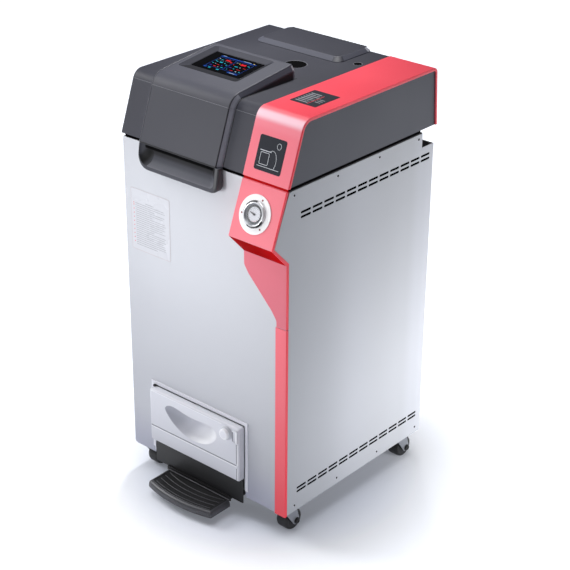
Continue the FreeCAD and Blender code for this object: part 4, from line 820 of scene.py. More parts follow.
g = Geo()
g.loft([
    hrect(-173.5, 63.4, 751.6, 807.2, 30.5, 16.4, y=-2.6),
    hrect(-174.8, 64.8, 750.4, 807.2, 31.8, 17.8, y=-5.0),
    hrect(-175.0, 65.0, 750.0, 807.2, 32.0, 18.0, d=6.5),
    hrect(-174.7, 64.2, 750.8, 807.2, 31.7, 17.4, d=3.2),
    hrect(-174.1, 62.4, 752.6, 807.0, 31.0, 16.4, d=1.2),
    hrect(-173.3, 59.6, 755.4, 806.9, 30.0, 14.4, d=0.1),
    hrect(-172.2, 54.0, 760.4, 806.6, 27.5, 11.0, d=0.2),
    hrect(-171.2, 52.4, 761.8, 806.3, 26.6, 10.2, d=1.4),
    hrect(-167.0, 50.0, 764.2, 805.9, 24.0, 9.4, d=4.6),
    hrect(-158.0, 46.0, 769.0, 805.5, 18.0, 8.4, y=-14.0),
    hrect(-150.0, 42.0, 776.0, 805.0, 11.5, 7.0, y=-10.0),
    hrect(-144.0, 38.5, 784.0, 804.5, 7.0, 5.5, y=-7.4),
    hrect(-141.0, 36.5, 790.5, 804.0, 3.0, 3.0, y=-6.4),
], 0, True, True)
# Faces by place: the rim's right end and low back take the darker charcoal (painted shade), the pocket's left part the
# fold grade (painted shade), the rest of the pocket the shelf grade (painted shade).
for i, f in enumerate(g.f):
    c = sum((Vector(g.v[k]) for k in f), Vector()) / len(f)
    outer = i < 36 * 5
    inner = i >= 36 * 6
    if not inner and c.x > 54.0:
        g.m[i] = 2
    elif outer and c.z < 757.0 and c.y > -9.0:
        g.m[i] = 2
    elif inner and c.x < -122.0:
        g.m[i] = 4
    elif inner:
        g.m[i] = 3
# Pocket charcoal grades: the shelf darkens to near black upward under the pod, the fold carries a near-black diagonal
# band; both are painted shade.
SHELF_SHADE = light_shade_gradient(mat("handle_shelf_painted_shade", (0.07, 0.072, 0.085), 0.60, var=0.05, vscale=8.0, rvar=0.04, bump=0.10, bscale=1500, spec=0.2),
               (0.0, 0.0, 1.0), [(758, (0.125, 0.128, 0.150)), (767, (0.090, 0.093, 0.112)), (779, (0.050, 0.052, 0.066)), (789, (0.014, 0.014, 0.018)), (796, (0.0015, 0.0015, 0.002)), (807, (0.0006, 0.0006, 0.0008))])
FOLD_SHADE = light_shade_gradient(mat("handle_fold_painted_shade", (0.06, 0.062, 0.078), 0.60, var=0.05, vscale=8.0, rvar=0.04, bump=0.10, bscale=1500, spec=0.2),
              (0.77, 0.0, -0.64), [(-650, (0.050, 0.052, 0.066)), (-634, (0.036, 0.037, 0.048)), (-624, (0.007, 0.007, 0.009)), (-613, (0.0015, 0.0015, 0.002)), (-603, (0.028, 0.029, 0.036)), (-588, (0.080, 0.083, 0.100))])
build("handle_shell", g, [CHAR, CHAR_LIT_SIDE, CHAR_SHADED, SHELF_SHADE, FOLD_SHADE], "lid", ["lid_handle"], angle=40)
g = Geo()
g.box(-160.0, 51.5, -13.6, -8.4, 798.5, 806.9)
build("handle_pocket_shade", g, SHADE_FILL, "lid")
g = Geo()
g.box(-174.0, 54.0, -15.6, -4.0, 806.6, 808.4, bev=0.3)
build("handle_seam", g, BLACK, "lid")

# ---- rear vent cover ------------------------------------------------------------------

g = Geo()


def vloop(d, z, r):
    return [(u, v, z) for u, v in rrect(-190 + d, 64 - d, 378 + d * 1.25, 505.6 - d * 0.7, r, 6)]


g.loft([vloop(0, 941.4, 20), vloop(0, 942.6, 20), vloop(0.7, 943.5, 19.5), vloop(9.4, 949.9, 14), vloop(10.6, 950.9, 13), vloop(12.4, 951.3, 12)], 0, True, True)
nv = len(vloop(0, 0, 20))
# The chamfer takes the lighter charcoal (painted light), except at the front right; at the rear right it takes the
# glint (painted highlight).
for i, f in enumerate(g.f):
    c = sum((Vector(g.v[k]) for k in f), Vector()) / len(f)
    if len(f) == 4 and 2 <= min(f) // nv <= 3:
        g.m[i] = 1
        if c.x > 42.0 and c.y < 405.0 and c.x - 42.0 > (c.y - 378.0) * 0.2:
            g.m[i] = 0
        if c.x > 46.0 and c.y > 480.0:
            g.m[i] = 2
build("vent_cover_shell", g, [CHAR, CHAR_LIT_SIDE, GLINT], "lid", ["rear_vent_cover"], angle=40)
g = Geo()
for k in range(22):
    x = -172 + k * 10.3
    g.plate(rrect(x, x + 6.4, 492.4, 497.6, 1.3, 3), 950.9, 951.5, "Z", bev=0.1)
build("vent_cover_slots", g, BLACK, "lid")
g = Geo()
for k in range(14):
    z = 826 + k * 6.5
    y = 513.8 - (z - LB) * 0.0647
    g.box(-150, 20, y - 1.0, y + 0.12, z, z + 2.4, bev=0.1)
build("cover_rear_slots", g, BLACK, "lid")

# ---- labels on the band ---------------------------------------------------------------

la = math.atan2(CZ - LB, CY - 1.4)
CA_, SA_ = math.cos(la), math.sin(la)


def front_pt(x, s, h):
    """Point on the cover's front slope: s up it, h proud of the red sheet."""
    o = B + h
    return (x, 1.4 - SA_ * o + CA_ * s, LB + CA_ * o + SA_ * s)


def decal(g, outline, to, h0, h1, m, bev=0.1):
    lp = ccw(outline)
    g.loft([[to(u, v, h) for u, v in (inset(lp, d) if d else lp)] for d, h in ((0, h0), (0, h1 - bev), (bev, h1))], m)


def bars(g, to, spans, h0, h1, m, r=0.4):
    for (u0, u1, v0, v1) in spans:
        decal(g, rrect(u0, u1, v0, v1, min(r, (v1 - v0) * 0.45, (u1 - u0) * 0.45), 2), to, h0, h1, m, 0.02)


def stroke(g, to, pts, w, h0, h1, m):
    for (a, b), (c, d) in zip(pts, pts[1:]):
        e = Vector((c - a, d - b))
        if e.length < 1e-6:
            continue
        k = e.normalized()
        n = Vector((-k.y, k.x)) * (w / 2)
        k = k * (w * 0.35)
        decal(g, [(a - n.x - k.x, b - n.y - k.y), (c - n.x + k.x, d - n.y + k.y), (c + n.x + k.x, d + n.y + k.y), (a + n.x - k.x, b + n.y - k.y)],
              to, h0, h1, m, 0.02)


g = Geo()
decal(g, rrect(142, 215, 19.5, 93.5, 5.0, 5), front_pt, -0.3, 0.35, 0, 0.15)
shape = rrect(153, 176, 33, 58, 2.0, 3)
stroke(g, front_pt, shape + shape[:1], 0.9, 0.2, 0.42, 1)
stroke(g, front_pt, [(149, 28.5), (208, 28.5)], 0.9, 0.2, 0.42, 1)
stroke(g, front_pt, [(150, 62), (180, 62)], 1.4, 0.2, 0.42, 1)
ring = [(197 + 5.4 * math.cos(a * math.pi / 10), 78 + 6.4 * math.sin(a * math.pi / 10)) for a in range(21)]
stroke(g, front_pt, ring, 0.9, 0.2, 0.42, 1)
arc = [(184 + 13 * math.cos(math.radians(a)), 44 + 22 * math.sin(math.radians(a))) for a in range(-40, 121, 16)]
stroke(g, front_pt, arc, 0.9, 0.2, 0.42, 1)


def flat_pt(x, y, h):
    return (x, y, LZ + B + h)


decal(g, rrect(140, 211, 122, 205, 3.0, 5), flat_pt, -0.3, 0.35, 0, 0.15)
rows_ = [(0.0, 0.86), (0.0, 0.62), (0.0, 0.95), (0.0, 0.74), (0.0, 0.90), (0.0, 0.55), (0.0, 0.80)]
for k, (a, b) in enumerate(rows_):
    bars(g, flat_pt, [(147, 147 + 36 * b, 132 + k * 8.6, 135.8 + k * 8.6), (149 + 36 * b, 178, 132 + k * 8.6, 135.0 + k * 8.6)], 0.2, 0.42, 2)
bars(g, flat_pt, [(182.5, 184.0, 128, 186)], 0.2, 0.42, 3)
bars(g, flat_pt, [(188.5, 203, 146, 148.5), (188.5, 203, 154, 156.5), (188.5, 203, 162, 164.5)], 0.2, 0.42, 2)
build("band_label_plates", g, [LABEL, LABEL_LINE, mat("label_bar", (0.26, 0.27, 0.30), 0.5, var=0.06, vscale=50.0, bump=0.0), CARD_RED], "lid", ["band_labels"])

# ---- cabinet sheet metal --------------------------------------------------------------

g = Geo()
front_out = fillet([(-243.0, 0.6), (-171.2, 0.6), (-171.2, 192), (121.4, 192), (121.4, 0.6), (241.4, 0.6), (241.4, 799.8), (-243.0, 799.8)],
                   [9, 0, 0, 0, 0, 0, 0, 2], 6)
g.plate(front_out, 0.0, 1.5, "Y", bev=0.7, seg=3)
# The front sheet takes the front paint with its painted shade.
build("front_sheet", g, FRONT_PAINTED_SHADING, "cabinet", ["front_panel"])


def side_sheet(name, node, outline, x0, x1):
    g = Geo()
    slots = []
    for zc, y0 in ((741.6, 42.5), (730.8, 42.5), (59.4, 39.0), (49.8, 39.0)):
        for k in range(12):
            a = y0 + 38.0 * k
            slots.append(rrect(a, a + 32.6, zc - 2.7, zc + 2.7, 2.5, 4))
    g.plate(outline, x0, x1, "X", holes=slots, bev=0.45, seg=2)
    # The sheet takes the side paint with its painted light and shade.
    return build(name, g, SIDE_PAINTED_SHADING, "cabinet", [node])


right_out = fillet([(6.3, 0.4), (506.8, 0.4), (506.8, 763), (463, 763), (463, 797.6), (4.2, 797.6), (-40.0, 684.0), (6.3, 636.5)],
                   [0, 3, 2, 1, 2, 0, 2, 2], 4)
side_sheet("right_side_sheet", "right_side_panel", right_out, 241.5, 243.0)
left_out = fillet([(1.6, 0.4), (506.8, 0.4), (506.8, 763), (463, 763), (463, 797.6), (1.6, 797.6)], [0, 3, 2, 1, 2, 0], 4)
side_sheet("left_side_sheet", "left_side_panel", left_out, -243.0, -241.5)

# Near-black strips behind the louvres: painted shade of the cabinet's inside.
g = Geo()
for x0, x1 in ((240.6, 242.5), (-242.5, -240.6)):
    for z0, z1 in ((724, 748), (43, 66)):
        g.box(x0, x1, 36, 498, z0, z1)
build("louvre_painted_shade", g, SHADE_FILL, "cabinet")

g = Geo()
for side in (-1, 1):
    for yy, zz in [(y, 787) for y in (20.5, 162.5, 306, 448.6)] + [(y, 17) for y in (31, 183, 335, 487)]:
        c = (243.0 * side, yy, zz)
        nrm = (side, 0, 0)
        g.lathe([(3.9, -0.2), (3.9, 0.12), (3.5, 0.3), (2.9, 0.3)], c, nrm, 20, 0)
        g.lathe([(2.9, 0.0), (2.9, 0.7), (2.5, 1.05), (1.5, 1.1), (1.4, 0.4), (0, 0.4)], c, nrm, 20, 1)
build("side_screw_heads", g, [PAINT2, BLACK], "cabinet", ["side_screws"])

# ---- console --------------------------------------------------------------------------

CONS = [(6.0, 799.9), (-3.2, 799.9), (-48.2, 683.0), (-1.0, 632.6), (-1.0, 631.4), (6.0, 631.4)]
g = Geo()
cons = fillet(CONS, [0, 1.0, 3.5, 2.0, 0, 0], 5)
g.plate(cons, 120.0, 242.0, "X", bev=1.1, seg=3)
# Faces below the knee take the dark underside red: painted shade.
low = [i for i, f in enumerate(g.f) if max(g.v[j][2] for j in f) < 682.4]
for i in low:
    g.m[i] = 2
flange = len(g.f)
rim = fillet([(6.0, 799.9), (-3.2, 799.9), (-48.2, 683.0), (-1.0, 632.2), (6.1, 632.2), (6.1, 636.2), (-40.3, 684.2), (4.0, 799.9)],
             [0, 1.0, 3.5, 2.0, 0, 0, 2, 0], 5)
g.plate(rim, 240.5, 243.2, "X", bev=0.9, seg=3)
# The right rim takes the brighter red: painted light.
for i in range(flange, len(g.f)):
    g.m[i] = 1
build("console_sheet", g, [RED_SHEEN_FACE, RED_LIT_EDGE, RED_UNDER_SHADE], "cabinet", ["console_panel"])
# Return strip in the gap under the band, in the dark red of painted shade.
g = Geo()
g.box(120.4, 242.0, 1.2, 2.2, 799.6, 805.4)
build("console_top_return", g, RED_SHADOWED, "cabinet")
g = Geo()
# Apron in the paler red of painted sheen, its right flange in the brighter red of painted light.
apron = fillet([(121.6, 633.5), (121.6, 600), (134.0, 582), (201, 513), (214.6, 494), (214.6, 480.2), (242.6, 480.2), (242.6, 633.5)],
               [0, 16, 18, 26, 16, 0, 0, 0], 6)
g.plate(apron, -1.25, 0.4, "Y", bev=0.5)
flange = len(g.f)
g.plate(rrect(-1.2, 6.1, 480.2, 635.0, 0.6, 2), 241.0, 243.25, "X", bev=0.8, seg=3)
for i in range(flange, len(g.f)):
    g.m[i] = 1
build("console_apron", g, [APRON_SHEEN_RED, RED_LIT_EDGE], "cabinet")
g = Geo()
# Strip in the red that pales upward, painted sheen, with its right flange in the brighter red, painted light.
g.plate(rrect(212.0, 242.6, -2.0, 478.9, 0.8, 2), -1.25, 0.4, "Y", bev=0.5)
flange = len(g.f)
g.plate(rrect(-1.2, 6.1, -2.0, 478.9, 0.6, 2), 241.0, 243.25, "X", bev=0.8, seg=3)
for i in range(flange, len(g.f)):
    g.m[i] = 1
build("corner_strip_sheet", g, [RED_STRIP_SHEEN, RED_LIT_EDGE], "cabinet", ["corner_strip"])

# ---- gauge ----------------------------------------------------------------------------

TILT = math.radians(68.96)
CA, SA = math.cos(TILT), math.sin(TILT)
GN = (0.0, -SA, CA)


def gp(e1, e2, n=0.0):
    return (176.7 + e1, -26.1 + e2 * CA - n * SA, 740.4 + e2 * SA + n * CA)


g = Geo()
g.lathe([(0, 0.05), (42.1, 0.05), (42.5, 0.5), (42.5, 1.4), (42.2, 1.75), (41.6, 1.9), (26, 1.9)], gp(0, 0), GN, 96)
for a in (20, 140, 262):
    e = (35 * math.sin(math.radians(a)), 35 * math.cos(math.radians(a)))
    g.lathe([(0, 1.7), (2.1, 1.7), (2.1, 2.15), (1.7, 2.45), (0.8, 2.5), (0.7, 2.1), (0, 2.1)], gp(*e), GN, 20, 1)
build("gauge_flange", g, [WHITE, mat("gauge_screw_red", (0.22, 0.03, 0.035), 0.4, var=0.1, vscale=60.0, bump=0.0)], "cabinet", ["gauge_plate"])
g = Geo()
g.lathe([(29.6, 1.7), (29.9, 3.0), (29.7, 4.6), (28.9, 6.3), (27.6, 7.4), (25.8, 7.9), (24.4, 7.8), (23.6, 7.4), (21.2, 4.6), (20.4, 3.6), (20.3, 3.0)], gp(0, 0), GN, 96)
g.lathe([(25.4, 1.9), (25.4, -26), (24.0, -27.5), (0, -27.5)], gp(0, 0), GN, 64, 1)
gc, ge2 = Vector(gp(0, 0)), Vector(gp(0, 1)) - Vector(gp(0, 0))
# Faces on two arcs of the chrome ring take black: painted reflections. The ring's inner slope takes a grey chrome.
for i, f in enumerate(g.f):
    c = sum((Vector(g.v[k]) for k in f), Vector()) / len(f) - gc
    u, v, h = c.x, c.dot(ge2), c.dot(Vector(GN))
    rad, ang = math.hypot(u, v), math.degrees(math.atan2(v, u))
    if len(f) == 4 and 3.2 < h < 7.7 and rad < 23.9:
        g.m[i] = 2
    elif len(f) == 4 and h > 4.0 and rad > 24.6:
        if 84.0 < ang < 150.0 and rad > 26.2:
            g.m[i] = 1
        elif -112.0 < ang < -18.0 and (26.2 < rad < 28.4 if ang < -60 else rad > 26.2):
            g.m[i] = 1
build("gauge_ring", g, [CHROME, BLACK, mat("chrome_cone", (0.30, 0.31, 0.34), 0.42, metal=0.3, var=0.02, vscale=20.0, rvar=0.02, bump=0.0)],
      "cabinet", ["gauge_case"])
g = Geo()
g.lathe([(0, 2.6), (20.3, 2.6), (20.3, 3.4), (15.9, 3.3), (15.7, 3.05), (0, 3.05)], gp(0, 0), GN, 72)
g2 = g
for k in range(28):
    a = math.radians(225 - k * 10.0)
    r0, r1, w = (12.2, 14.6, 0.30) if k % 4 == 0 else (13.3, 14.5, 0.16)
    c, s = math.cos(a), math.sin(a)
    q = [(r0 * c - w * s, r0 * s + w * c), (r1 * c - w * s, r1 * s + w * c), (r1 * c + w * s, r1 * s - w * c), (r0 * c + w * s, r0 * s - w * c)]
    lp = ccw(q)
    g2.loft([[gp(u, v, h) for u, v in lp] for h in (2.95, 3.12)], 2)
for k in range(3):
    a = math.radians(-50 - k * 22)
    g2.loft([[gp(u, v, h) for u, v in ccw([(14.0 * math.cos(a + t), 14.0 * math.sin(a + t)) for t in (-0.07, 0.0, 0.07)] + [(15.0 * math.cos(a + t), 15.0 * math.sin(a + t)) for t in (0.07, 0.0, -0.07)])] for h in (2.95, 3.1)], 3)
ob = build("gauge_face", g2, [DIAL, DIAL_RING, NEEDLE, CARD_RED], "cabinet", ["gauge_dial"])
for p_ in ob.data.polygons:
    c = p_.center
    d = (c - P(*gp(0, 0, 3.2))).length / MM
    if p_.material_index == 0 and d > 15.9:
        p_.material_index = 1
g = Geo()
ang = math.radians(165.0)
ca, sa = math.cos(ang), math.sin(ang)


def npt(u, v, h):
    return gp(u * ca - v * sa, u * sa + v * ca, h)


nl = ccw([(-3.6, -1.7), (-1.5, -2.1), (5.0, -1.5), (13.4, -0.35), (13.4, 0.35), (5.0, 1.5), (-1.5, 2.1), (-3.6, 1.7)])
g.loft([[npt(u, v, h) for u, v in lp] for lp, h in ((nl, 3.9), (nl, 4.35))], 0)
g.lathe([(0, 3.3), (1.3, 3.3), (1.3, 4.2), (2.4, 4.3), (2.4, 5.0), (1.9, 5.35), (0, 5.4)], gp(0, 0), GN, 28, 0)
build("gauge_pointer", g, NEEDLE, "needle", ["gauge_needle"])
g = Geo()
g.lathe([(0, 5.9), (20.2, 5.9), (20.2, 6.5), (0, 7.0)], gp(0, 0), GN, 64)
build("gauge_lens", g, GLASS, "cabinet", ["gauge_glass"])

# ---- printed card ---------------------------------------------------------------------

g = Geo()


def card_pt(x, z, h):
    return (x, -h, z)


decal(g, rrect(-224.0, -102.5, 532.0, 683.0, 4.0, 5), card_pt, -0.1, 0.22, 0, 0.1)
outer, inner = ccw(rrect(-224.2, -102.2, 531.8, 683.2, 4.0, 5)), ccw(rrect(-223.3, -103.1, 532.7, 682.3, 3.4, 5))
for i in range(len(outer)):
    j = (i + 1) % len(outer)
    q = [outer[i], outer[j], inner[j], inner[i]]
    g.add([card_pt(u, v, 0.05) for u, v in q] + [card_pt(u, v, 0.3) for u, v in q],
          [(4, 5, 6, 7), (0, 1, 5, 4), (1, 2, 6, 5), (2, 3, 7, 6), (3, 0, 4, 7)], 1)
widths = [(0.30, 0), (0.93, 1), (0.97, 1), (0.62, 0), (0.95, 1), (0.90, 0), (0.55, 1), (0.96, 0), (0.99, 1), (0.92, 0), (0.96, 1), (0.88, 0),
          (0.97, 1), (0.60, 0), (0.98, 1), (0.94, 0), (0.97, 1), (0.90, 0), (0.95, 1), (0.97, 0), (0.96, 1), (0.70, 0)]
for k, (w, dot) in enumerate(widths):
    z = 652.5 - k * 5.05
    x0 = -210.0 if k else -178.0
    bars(g, card_pt, [(x0, x0 + 96 * w * (1 if k else 0.9), z - 0.55, z + 0.55)], 0.12, 0.32, 2, 0.3)
    if dot:
        decal(g, [(-215.2 + 1.35 * math.cos(a * math.pi / 6), z + 1.35 * math.sin(a * math.pi / 6)) for a in range(12)], card_pt, 0.12, 0.34, 3, 0.05)
build("front_card_sheet", g, [CARD, CARD_EDGE, CARD_BAR, CARD_RED], "cabinet", ["front_card"])

# ---- door, frame, knob, latch ---------------------------------------------------------

g = Geo()
g.plate([(-177, 18), (-169.2, 18), (-169.2, 193.0), (121.8, 193.0), (121.8, 18), (130, 18), (130, 202.5), (-177, 202.5)], -2.4, 0.3, "Y", bev=0.9, seg=3)
g.plate(rrect(-168.0, -156.0, -12, 0.1, 2.0, 4), 44, 48.5, "Z", bev=0.4)
g.plate(rrect(-166.2, -158.6, -9.7, 0.1, 2.0, 4), 192.2, 194.0, "Z", bev=0.3, m=1)
g.lathe([(2.45, 46), (2.45, 60)], (-162, -7, 0), n=20)
g.lathe([(2.45, 182), (2.45, 194)], (-162, -7, 0), n=20)
build("door_surround", g, [PAINT2, BLACK], "cabinet", ["door_frame"])

SCOOP = [(-115.6, 153.0), (-111.5, 161.3), (-102.0, 166.3), (-91.0, 168.3), (-76.0, 167.4), (-55.2, 163.9), (-31.8, 161.6), (-8.4, 162.4), (12.8, 164.6),
         (31.0, 163.6), (43.5, 158.6), (50.2, 147.4), (47.4, 134.3), (34.8, 120.6), (15.5, 109.3), (-8.9, 103.3), (-33.4, 103.0), (-57.0, 107.2),
         (-77.5, 116.1), (-95.2, 128.0), (-108.7, 141.4)]
scoop = ccw(smooth_loop(SCOOP, 5))
g = Geo()
slab_out = rrect(-166.4, 119.8, 49.8, 190.4, 4.5, 5)
# Front skin: rounded rim from the back edge to the face, then the face with the recess left open.
so = ccw(slab_out)
R = 4.6
rings = [(0.0, -2.6)] + [(R * (1 - math.cos(math.pi / 2 * k / 6)), -20.0 + R * (1 - math.sin(math.pi / 2 * k / 6))) for k in range(7)]
g.loft([[(u, y, v) for u, v in (inset(so, d) if d > 0 else so)] for d, y in rings], 0, False, False)
face_lp = inset(so, R)
tri = tessellate_polygon([[Vector((u, v, 0)) for u, v in face_lp], [Vector((u, v, 0)) for u, v in scoop]])
g.add([(u, -20.0, v) for u, v in face_lp + scoop], tri)
ctr = Vector((-14.0, 131.0))
bowl = []
bowl_f = len(g.f)
for s, dep in ((0.0, 0.0), (0.02, 0.25), (0.05, 0.9), (0.10, 2.3), (0.18, 4.6), (0.28, 7.2), (0.40, 9.6), (0.54, 11.6), (0.70, 13.0), (0.86, 13.8), (0.97, 14.0)):
    bowl.append([(u + (ctr.x - u) * s, -20.0 + dep, v + (ctr.y - v) * s) for u, v in scoop])
g.loft(bowl, 1, False, True)
# The groove is drawn as strips on the face: a dark one, painted shade, beside a pale lip, painted highlight; the same
# down the right side.
for z0, z1, y1, m in ((90.5, 93.6, -20.05, 2), (87.4, 90.3, -20.55, 3)):
    g.box(-162.8, 112.0, y1, -19.2, z0, z1, m=m, bev=0.15)
for x0, x1, z0, z1, y1, m in ((110.8, 113.6, 95.5, 148.5, -20.05, 2), (113.8, 116.8, 92.5, 148.5, -20.55, 3), (111.6, 114.0, 54.0, 84.0, -20.05, 2),
                              (114.4, 116.4, 52.5, 84.0, -20.5, 3)):
    g.box(x0, x1, y1, -19.2, z0, z1, m=m, bev=0.15)
g.plate(slab_out, -3.2, -2.2, "Y", bev=0.3)
# Pale strip along the door's top front edge: painted highlight.
g.box(-160.5, 66.0, -20.12, -19.4, 185.0, 186.5, m=3, bev=0.1)
door = build("door_skin", g, [DOOR_SHADED_PAINT, SCOOP_SHADE_PAINT, GROOVE_SHADE, LIP_HIGHLIGHT], "door", ["compartment_door"], angle=40, weighted=False)
finish_shade(door, 40)

g = Geo()
g.lathe([(0, 9.9), (13.2, 9.9), (13.2, 10.5), (13.2, 14.6), (12.8, 16.0), (11.8, 17.0), (10.6, 17.4), (0, 17.4)], (83, -16.0, 169), (0, -1, 0), 56)
# The collar takes the darker paint: painted shade.
g.lathe([(0, -1.0), (4.0, -1.0), (4.0, 4.35), (17.2, 4.35), (17.6, 4.8), (17.5, 5.6), (16.4, 7.4), (14.6, 9.2), (12.4, 9.95), (0, 10.0)], (83, -16.0, 169), (0, -1, 0), 56, 2)
g.lathe([(0, 17.35), (8.6, 17.35), (8.6, 17.5), (0, 17.5)], (83, -16.0, 169), (0, -1, 0), 40, 1)
g.lathe([(0, -3), (4.0, -3), (4.0, 20), (0, 20)], (83, -16.0, 169), (0, 1, 0), 24)
g.box(79, 87, 0.6, 3.0, 165, 186, bev=0.5)
build("door_knob_turned", g, [KNOB, PAINT2, COLLAR_SHADE], "knob", ["door_knob"])
g = Geo()
lp = fillet([(102.6, 155.0), (108.5, 149.2), (118.4, 152.6), (118.4, 186.8), (102.6, 183.0)], [2.5, 2.5, 4, 4, 3], 5)
lp = ccw(lp)
g.loft([[(u, y, v) for u, v in (inset(lp, d) if d > 0 else lp)] for d, y in ((0, -19.6), (0, -23.4), (0.5, -24.5), (1.6, -25.0), (4.2, -25.0), (5.0, -24.3), (5.4, -23.6))], 0, True, True)
n_l = len(g.f)
# A dark strip down the plate's left side, painted shadow, and a pale strip down its right ridge, painted highlight.
g.box(103.4, 106.4, -25.12, -24.6, 156.5, 181.5, m=1, bev=0.2)
g.box(113.0, 117.4, -25.06, -24.6, 155.0, 184.0, m=2, bev=0.25)
build("latch_plate_formed", g, [DOOR_SHADED_PAINT, GROOVE_SHADE, LIP_HIGHLIGHT], "door", ["latch_plate"])

# ---- pedal ----------------------------------------------------------------------------

g = Geo()
sk = fillet([(-168.8, -20), (115.4, -20), (115.4, 43.6), (-168.8, 43.6)], [3, 4, 0, 0], 4)
g.plate(sk, -1.4, -0.05, "Y", bev=0.5)
g.box(-168.8, 115.4, -0.4, 5, 2.2, 5.9)
build("pedal_skirt_sheet", g, SKIRT, "cabinet", ["pedal_skirt"])
g = Geo()
g.box(-171.0, -169.0, -1.8, 0.4, 8.0, 17.8, bev=0.3)
build("skirt_edge_trim", g, PAINT2, "cabinet")

TL, TR, TS, TT, REAR = -129.0, 78.0, -72.0, -88.0, -5.5


def tread_loop(d, rc=10.0, rear=REAR):
    """Tread outline moved in by d: straight sides and rear, bowed front."""
    xm, half = (TL + TR) / 2, (TR - TL) / 2
    sag = TS - TT
    rad = (half * half + sag * sag) / (2 * sag)
    cy = TT + rad
    r = rad - d
    x0, x1 = TL + d, TR - d

    def fy(x):
        return cy - math.sqrt(r * r - (x - xm) ** 2)
    pts = []
    for k in range(23):
        x = x0 + (x1 - x0) * k / 22
        pts.append((x, fy(x)))
    core = [(x0, rear)] + pts + [(x1, rear)]
    rad_list = [1.5, max(1.0, rc - d)] + [0] * 21 + [max(1.0, 5.0 - d), 1.5]
    return fillet(core, rad_list, 6)


g = Geo()
levels = [(5.0, -44.0), (2.0, -43.7), (0.6, -42.6), (0.0, -40.5), (0.3, -36.0), (1.2, -32.0), (2.8, -29.4), (5.0, -27.7), (8.0, -26.6), (11.0, -26.3),
          (12.4, -26.8), (13.6, -27.4)]
base = tread_loop(0.0)
nb = len(base)
rows = []
for d, z in levels:
    lp = tread_loop(d)
    rows.append([(u, v, z) for u, v in lp])
g.loft(rows, 0, True, True)
# The tread's front rounding takes the paler rubber: painted highlight.
for i, f in enumerate(g.f):
    if len(f) == 4 and 3 <= i // nb <= 7:
        c = sum((Vector(g.v[k]) for k in f), Vector()) / 4
        if c.y < -20.0:
            g.m[i] = 3
# Ribs in a paler rubber: painted highlight.
for k in range(4):
    d = 17.5 + k * 14.6
    xm, half = (TL + TR) / 2, (TR - TL) / 2
    sag = TS - TT
    rad = (half * half + sag * sag) / (2 * sag)
    cy = TT + rad
    pts = []
    for i in range(29):
        x = TL + 17 + (TR - TL - 32) * i / 28
        y = cy - math.sqrt((rad - d) ** 2 - (x - xm) ** 2)
        pts.append((x, y, -27.3))
    if max(p[1] for p in pts) > REAR - 6:
        pts = [p for p in pts if p[1] < REAR - 6]
    if len(pts) > 3:
        g.tube(pts, 0.95, 10, 1)
g.plate(rrect(TL + 0.4, TR - 0.4, -29.0, -17.2, 1.0, 2), -5.4, -2.4, "Y", bev=0.6)
# A pale ridge along the rear edge and a pale line inside the front lip: painted highlights.
g.tube([(TL + 2, REAR - 1.0, -25.4), (TR - 2, REAR - 1.0, -25.4)], 1.1, 10, 2)
g.tube([(u, v, -26.2) for u, v in tread_loop(9.6)[8:-8]], 0.75, 8, 1)
build("pedal_tread_moulded", g, [RUBBER, RIB_HIGHLIGHT, RIDGE_HIGHLIGHT, LIP_RUBBER_HIGHLIGHT], "pedal", ["pedal_tread"], angle=45)

# ---- casters --------------------------------------------------------------------------

for tag, sx, sy in (("fl", -210.0, 30.0), ("fr", 210.0, 30.0), ("rl", -210.0, 449.0), ("rr", 210.0, 449.0)):
    wy, wz = sy + 21.0, -39.0
    ax = (1, 0, 0)
    c = (sx, wy, wz)
    g = Geo()
    g.lathe([(8.5, -17.4), (9.5, -17.8), (17, -16.0), (19.5, -16.2), (22.6, -16.4), (24.6, -15.6), (26.1, -13.6), (26.9, -10.6), (27.0, -6.0), (27.0, 6.0),
             (26.9, 10.6), (26.1, 13.6), (24.6, 15.6), (22.6, 16.4), (19.5, 16.2), (17, 16.0), (9.5, 17.8), (8.5, 17.4)], c, ax, 64, 0)
    g.lathe([(4.1, -19.8), (8.6, -19.8), (8.8, -17.6), (8.8, 17.6), (8.6, 19.8), (4.1, 19.8)], c, ax, 40, 1)
    build("caster_roller_" + tag, g, [TYRE, HUB], "wheel_" + tag, ["caster_wheel_" + tag])
    g = Geo()
    leg = fillet([(sy - 18, -2.2), (sy + 21, -2.2), (wy + 10, wz + 3), (wy + 7.5, wz - 8), (wy - 5, wz - 9.5), (wy - 11, wz - 3)], [1, 3, 8, 6, 6, 8], 5)
    for dx in (-24.0, 21.0):
        g.plate(leg, sx + dx, sx + dx + 3.0, "X", bev=0.8, seg=2)
    g.plate(rrect(sx - 24, sx + 24, sy - 17.5, sy + 20.5, 5, 5), -5.0, -2.0, "Z", bev=0.7)
    g.lathe([(0, -6.0), (14, -6.0), (19.5, -2.4), (20.0, -1.2), (20.0, 1.8), (19.3, 2.6), (0, 2.6)], (sx, sy, 0), n=48)
    g.lathe([(0, 0), (4.9, 0), (4.9, 9.4), (0, 9.4)], (sx, sy, 0), n=24)
    for s in (-1, 1):
        g.lathe([(0, 22.0), (7.8, 22.0), (8.2, 23.8), (8.2, 24.4), (6.4, 24.7), (6.4, 27.6), (5.8, 28.6), (3.6, 29.0), (3.4, 28.2), (0, 28.2)], c, (s, 0, 0), 32, 1)
    g.lathe([(3.9, -24), (3.9, 24)], c, ax, 24)
    build("caster_yoke_" + tag, g, [FORK, BLACK], "fork_" + tag, ["caster_fork_" + tag])

# ---- chamber --------------------------------------------------------------------------

VC = (0, 245, 0)


def ring(g, prof, n=96, m=0):
    rows_r = [[(VC[0] + r * math.cos(2 * math.pi * i / n), VC[1] + r * math.sin(2 * math.pi * i / n), z) for i in range(n)] for r, z in prof]
    g.loft(rows_r + rows_r[:1], m, False, False)


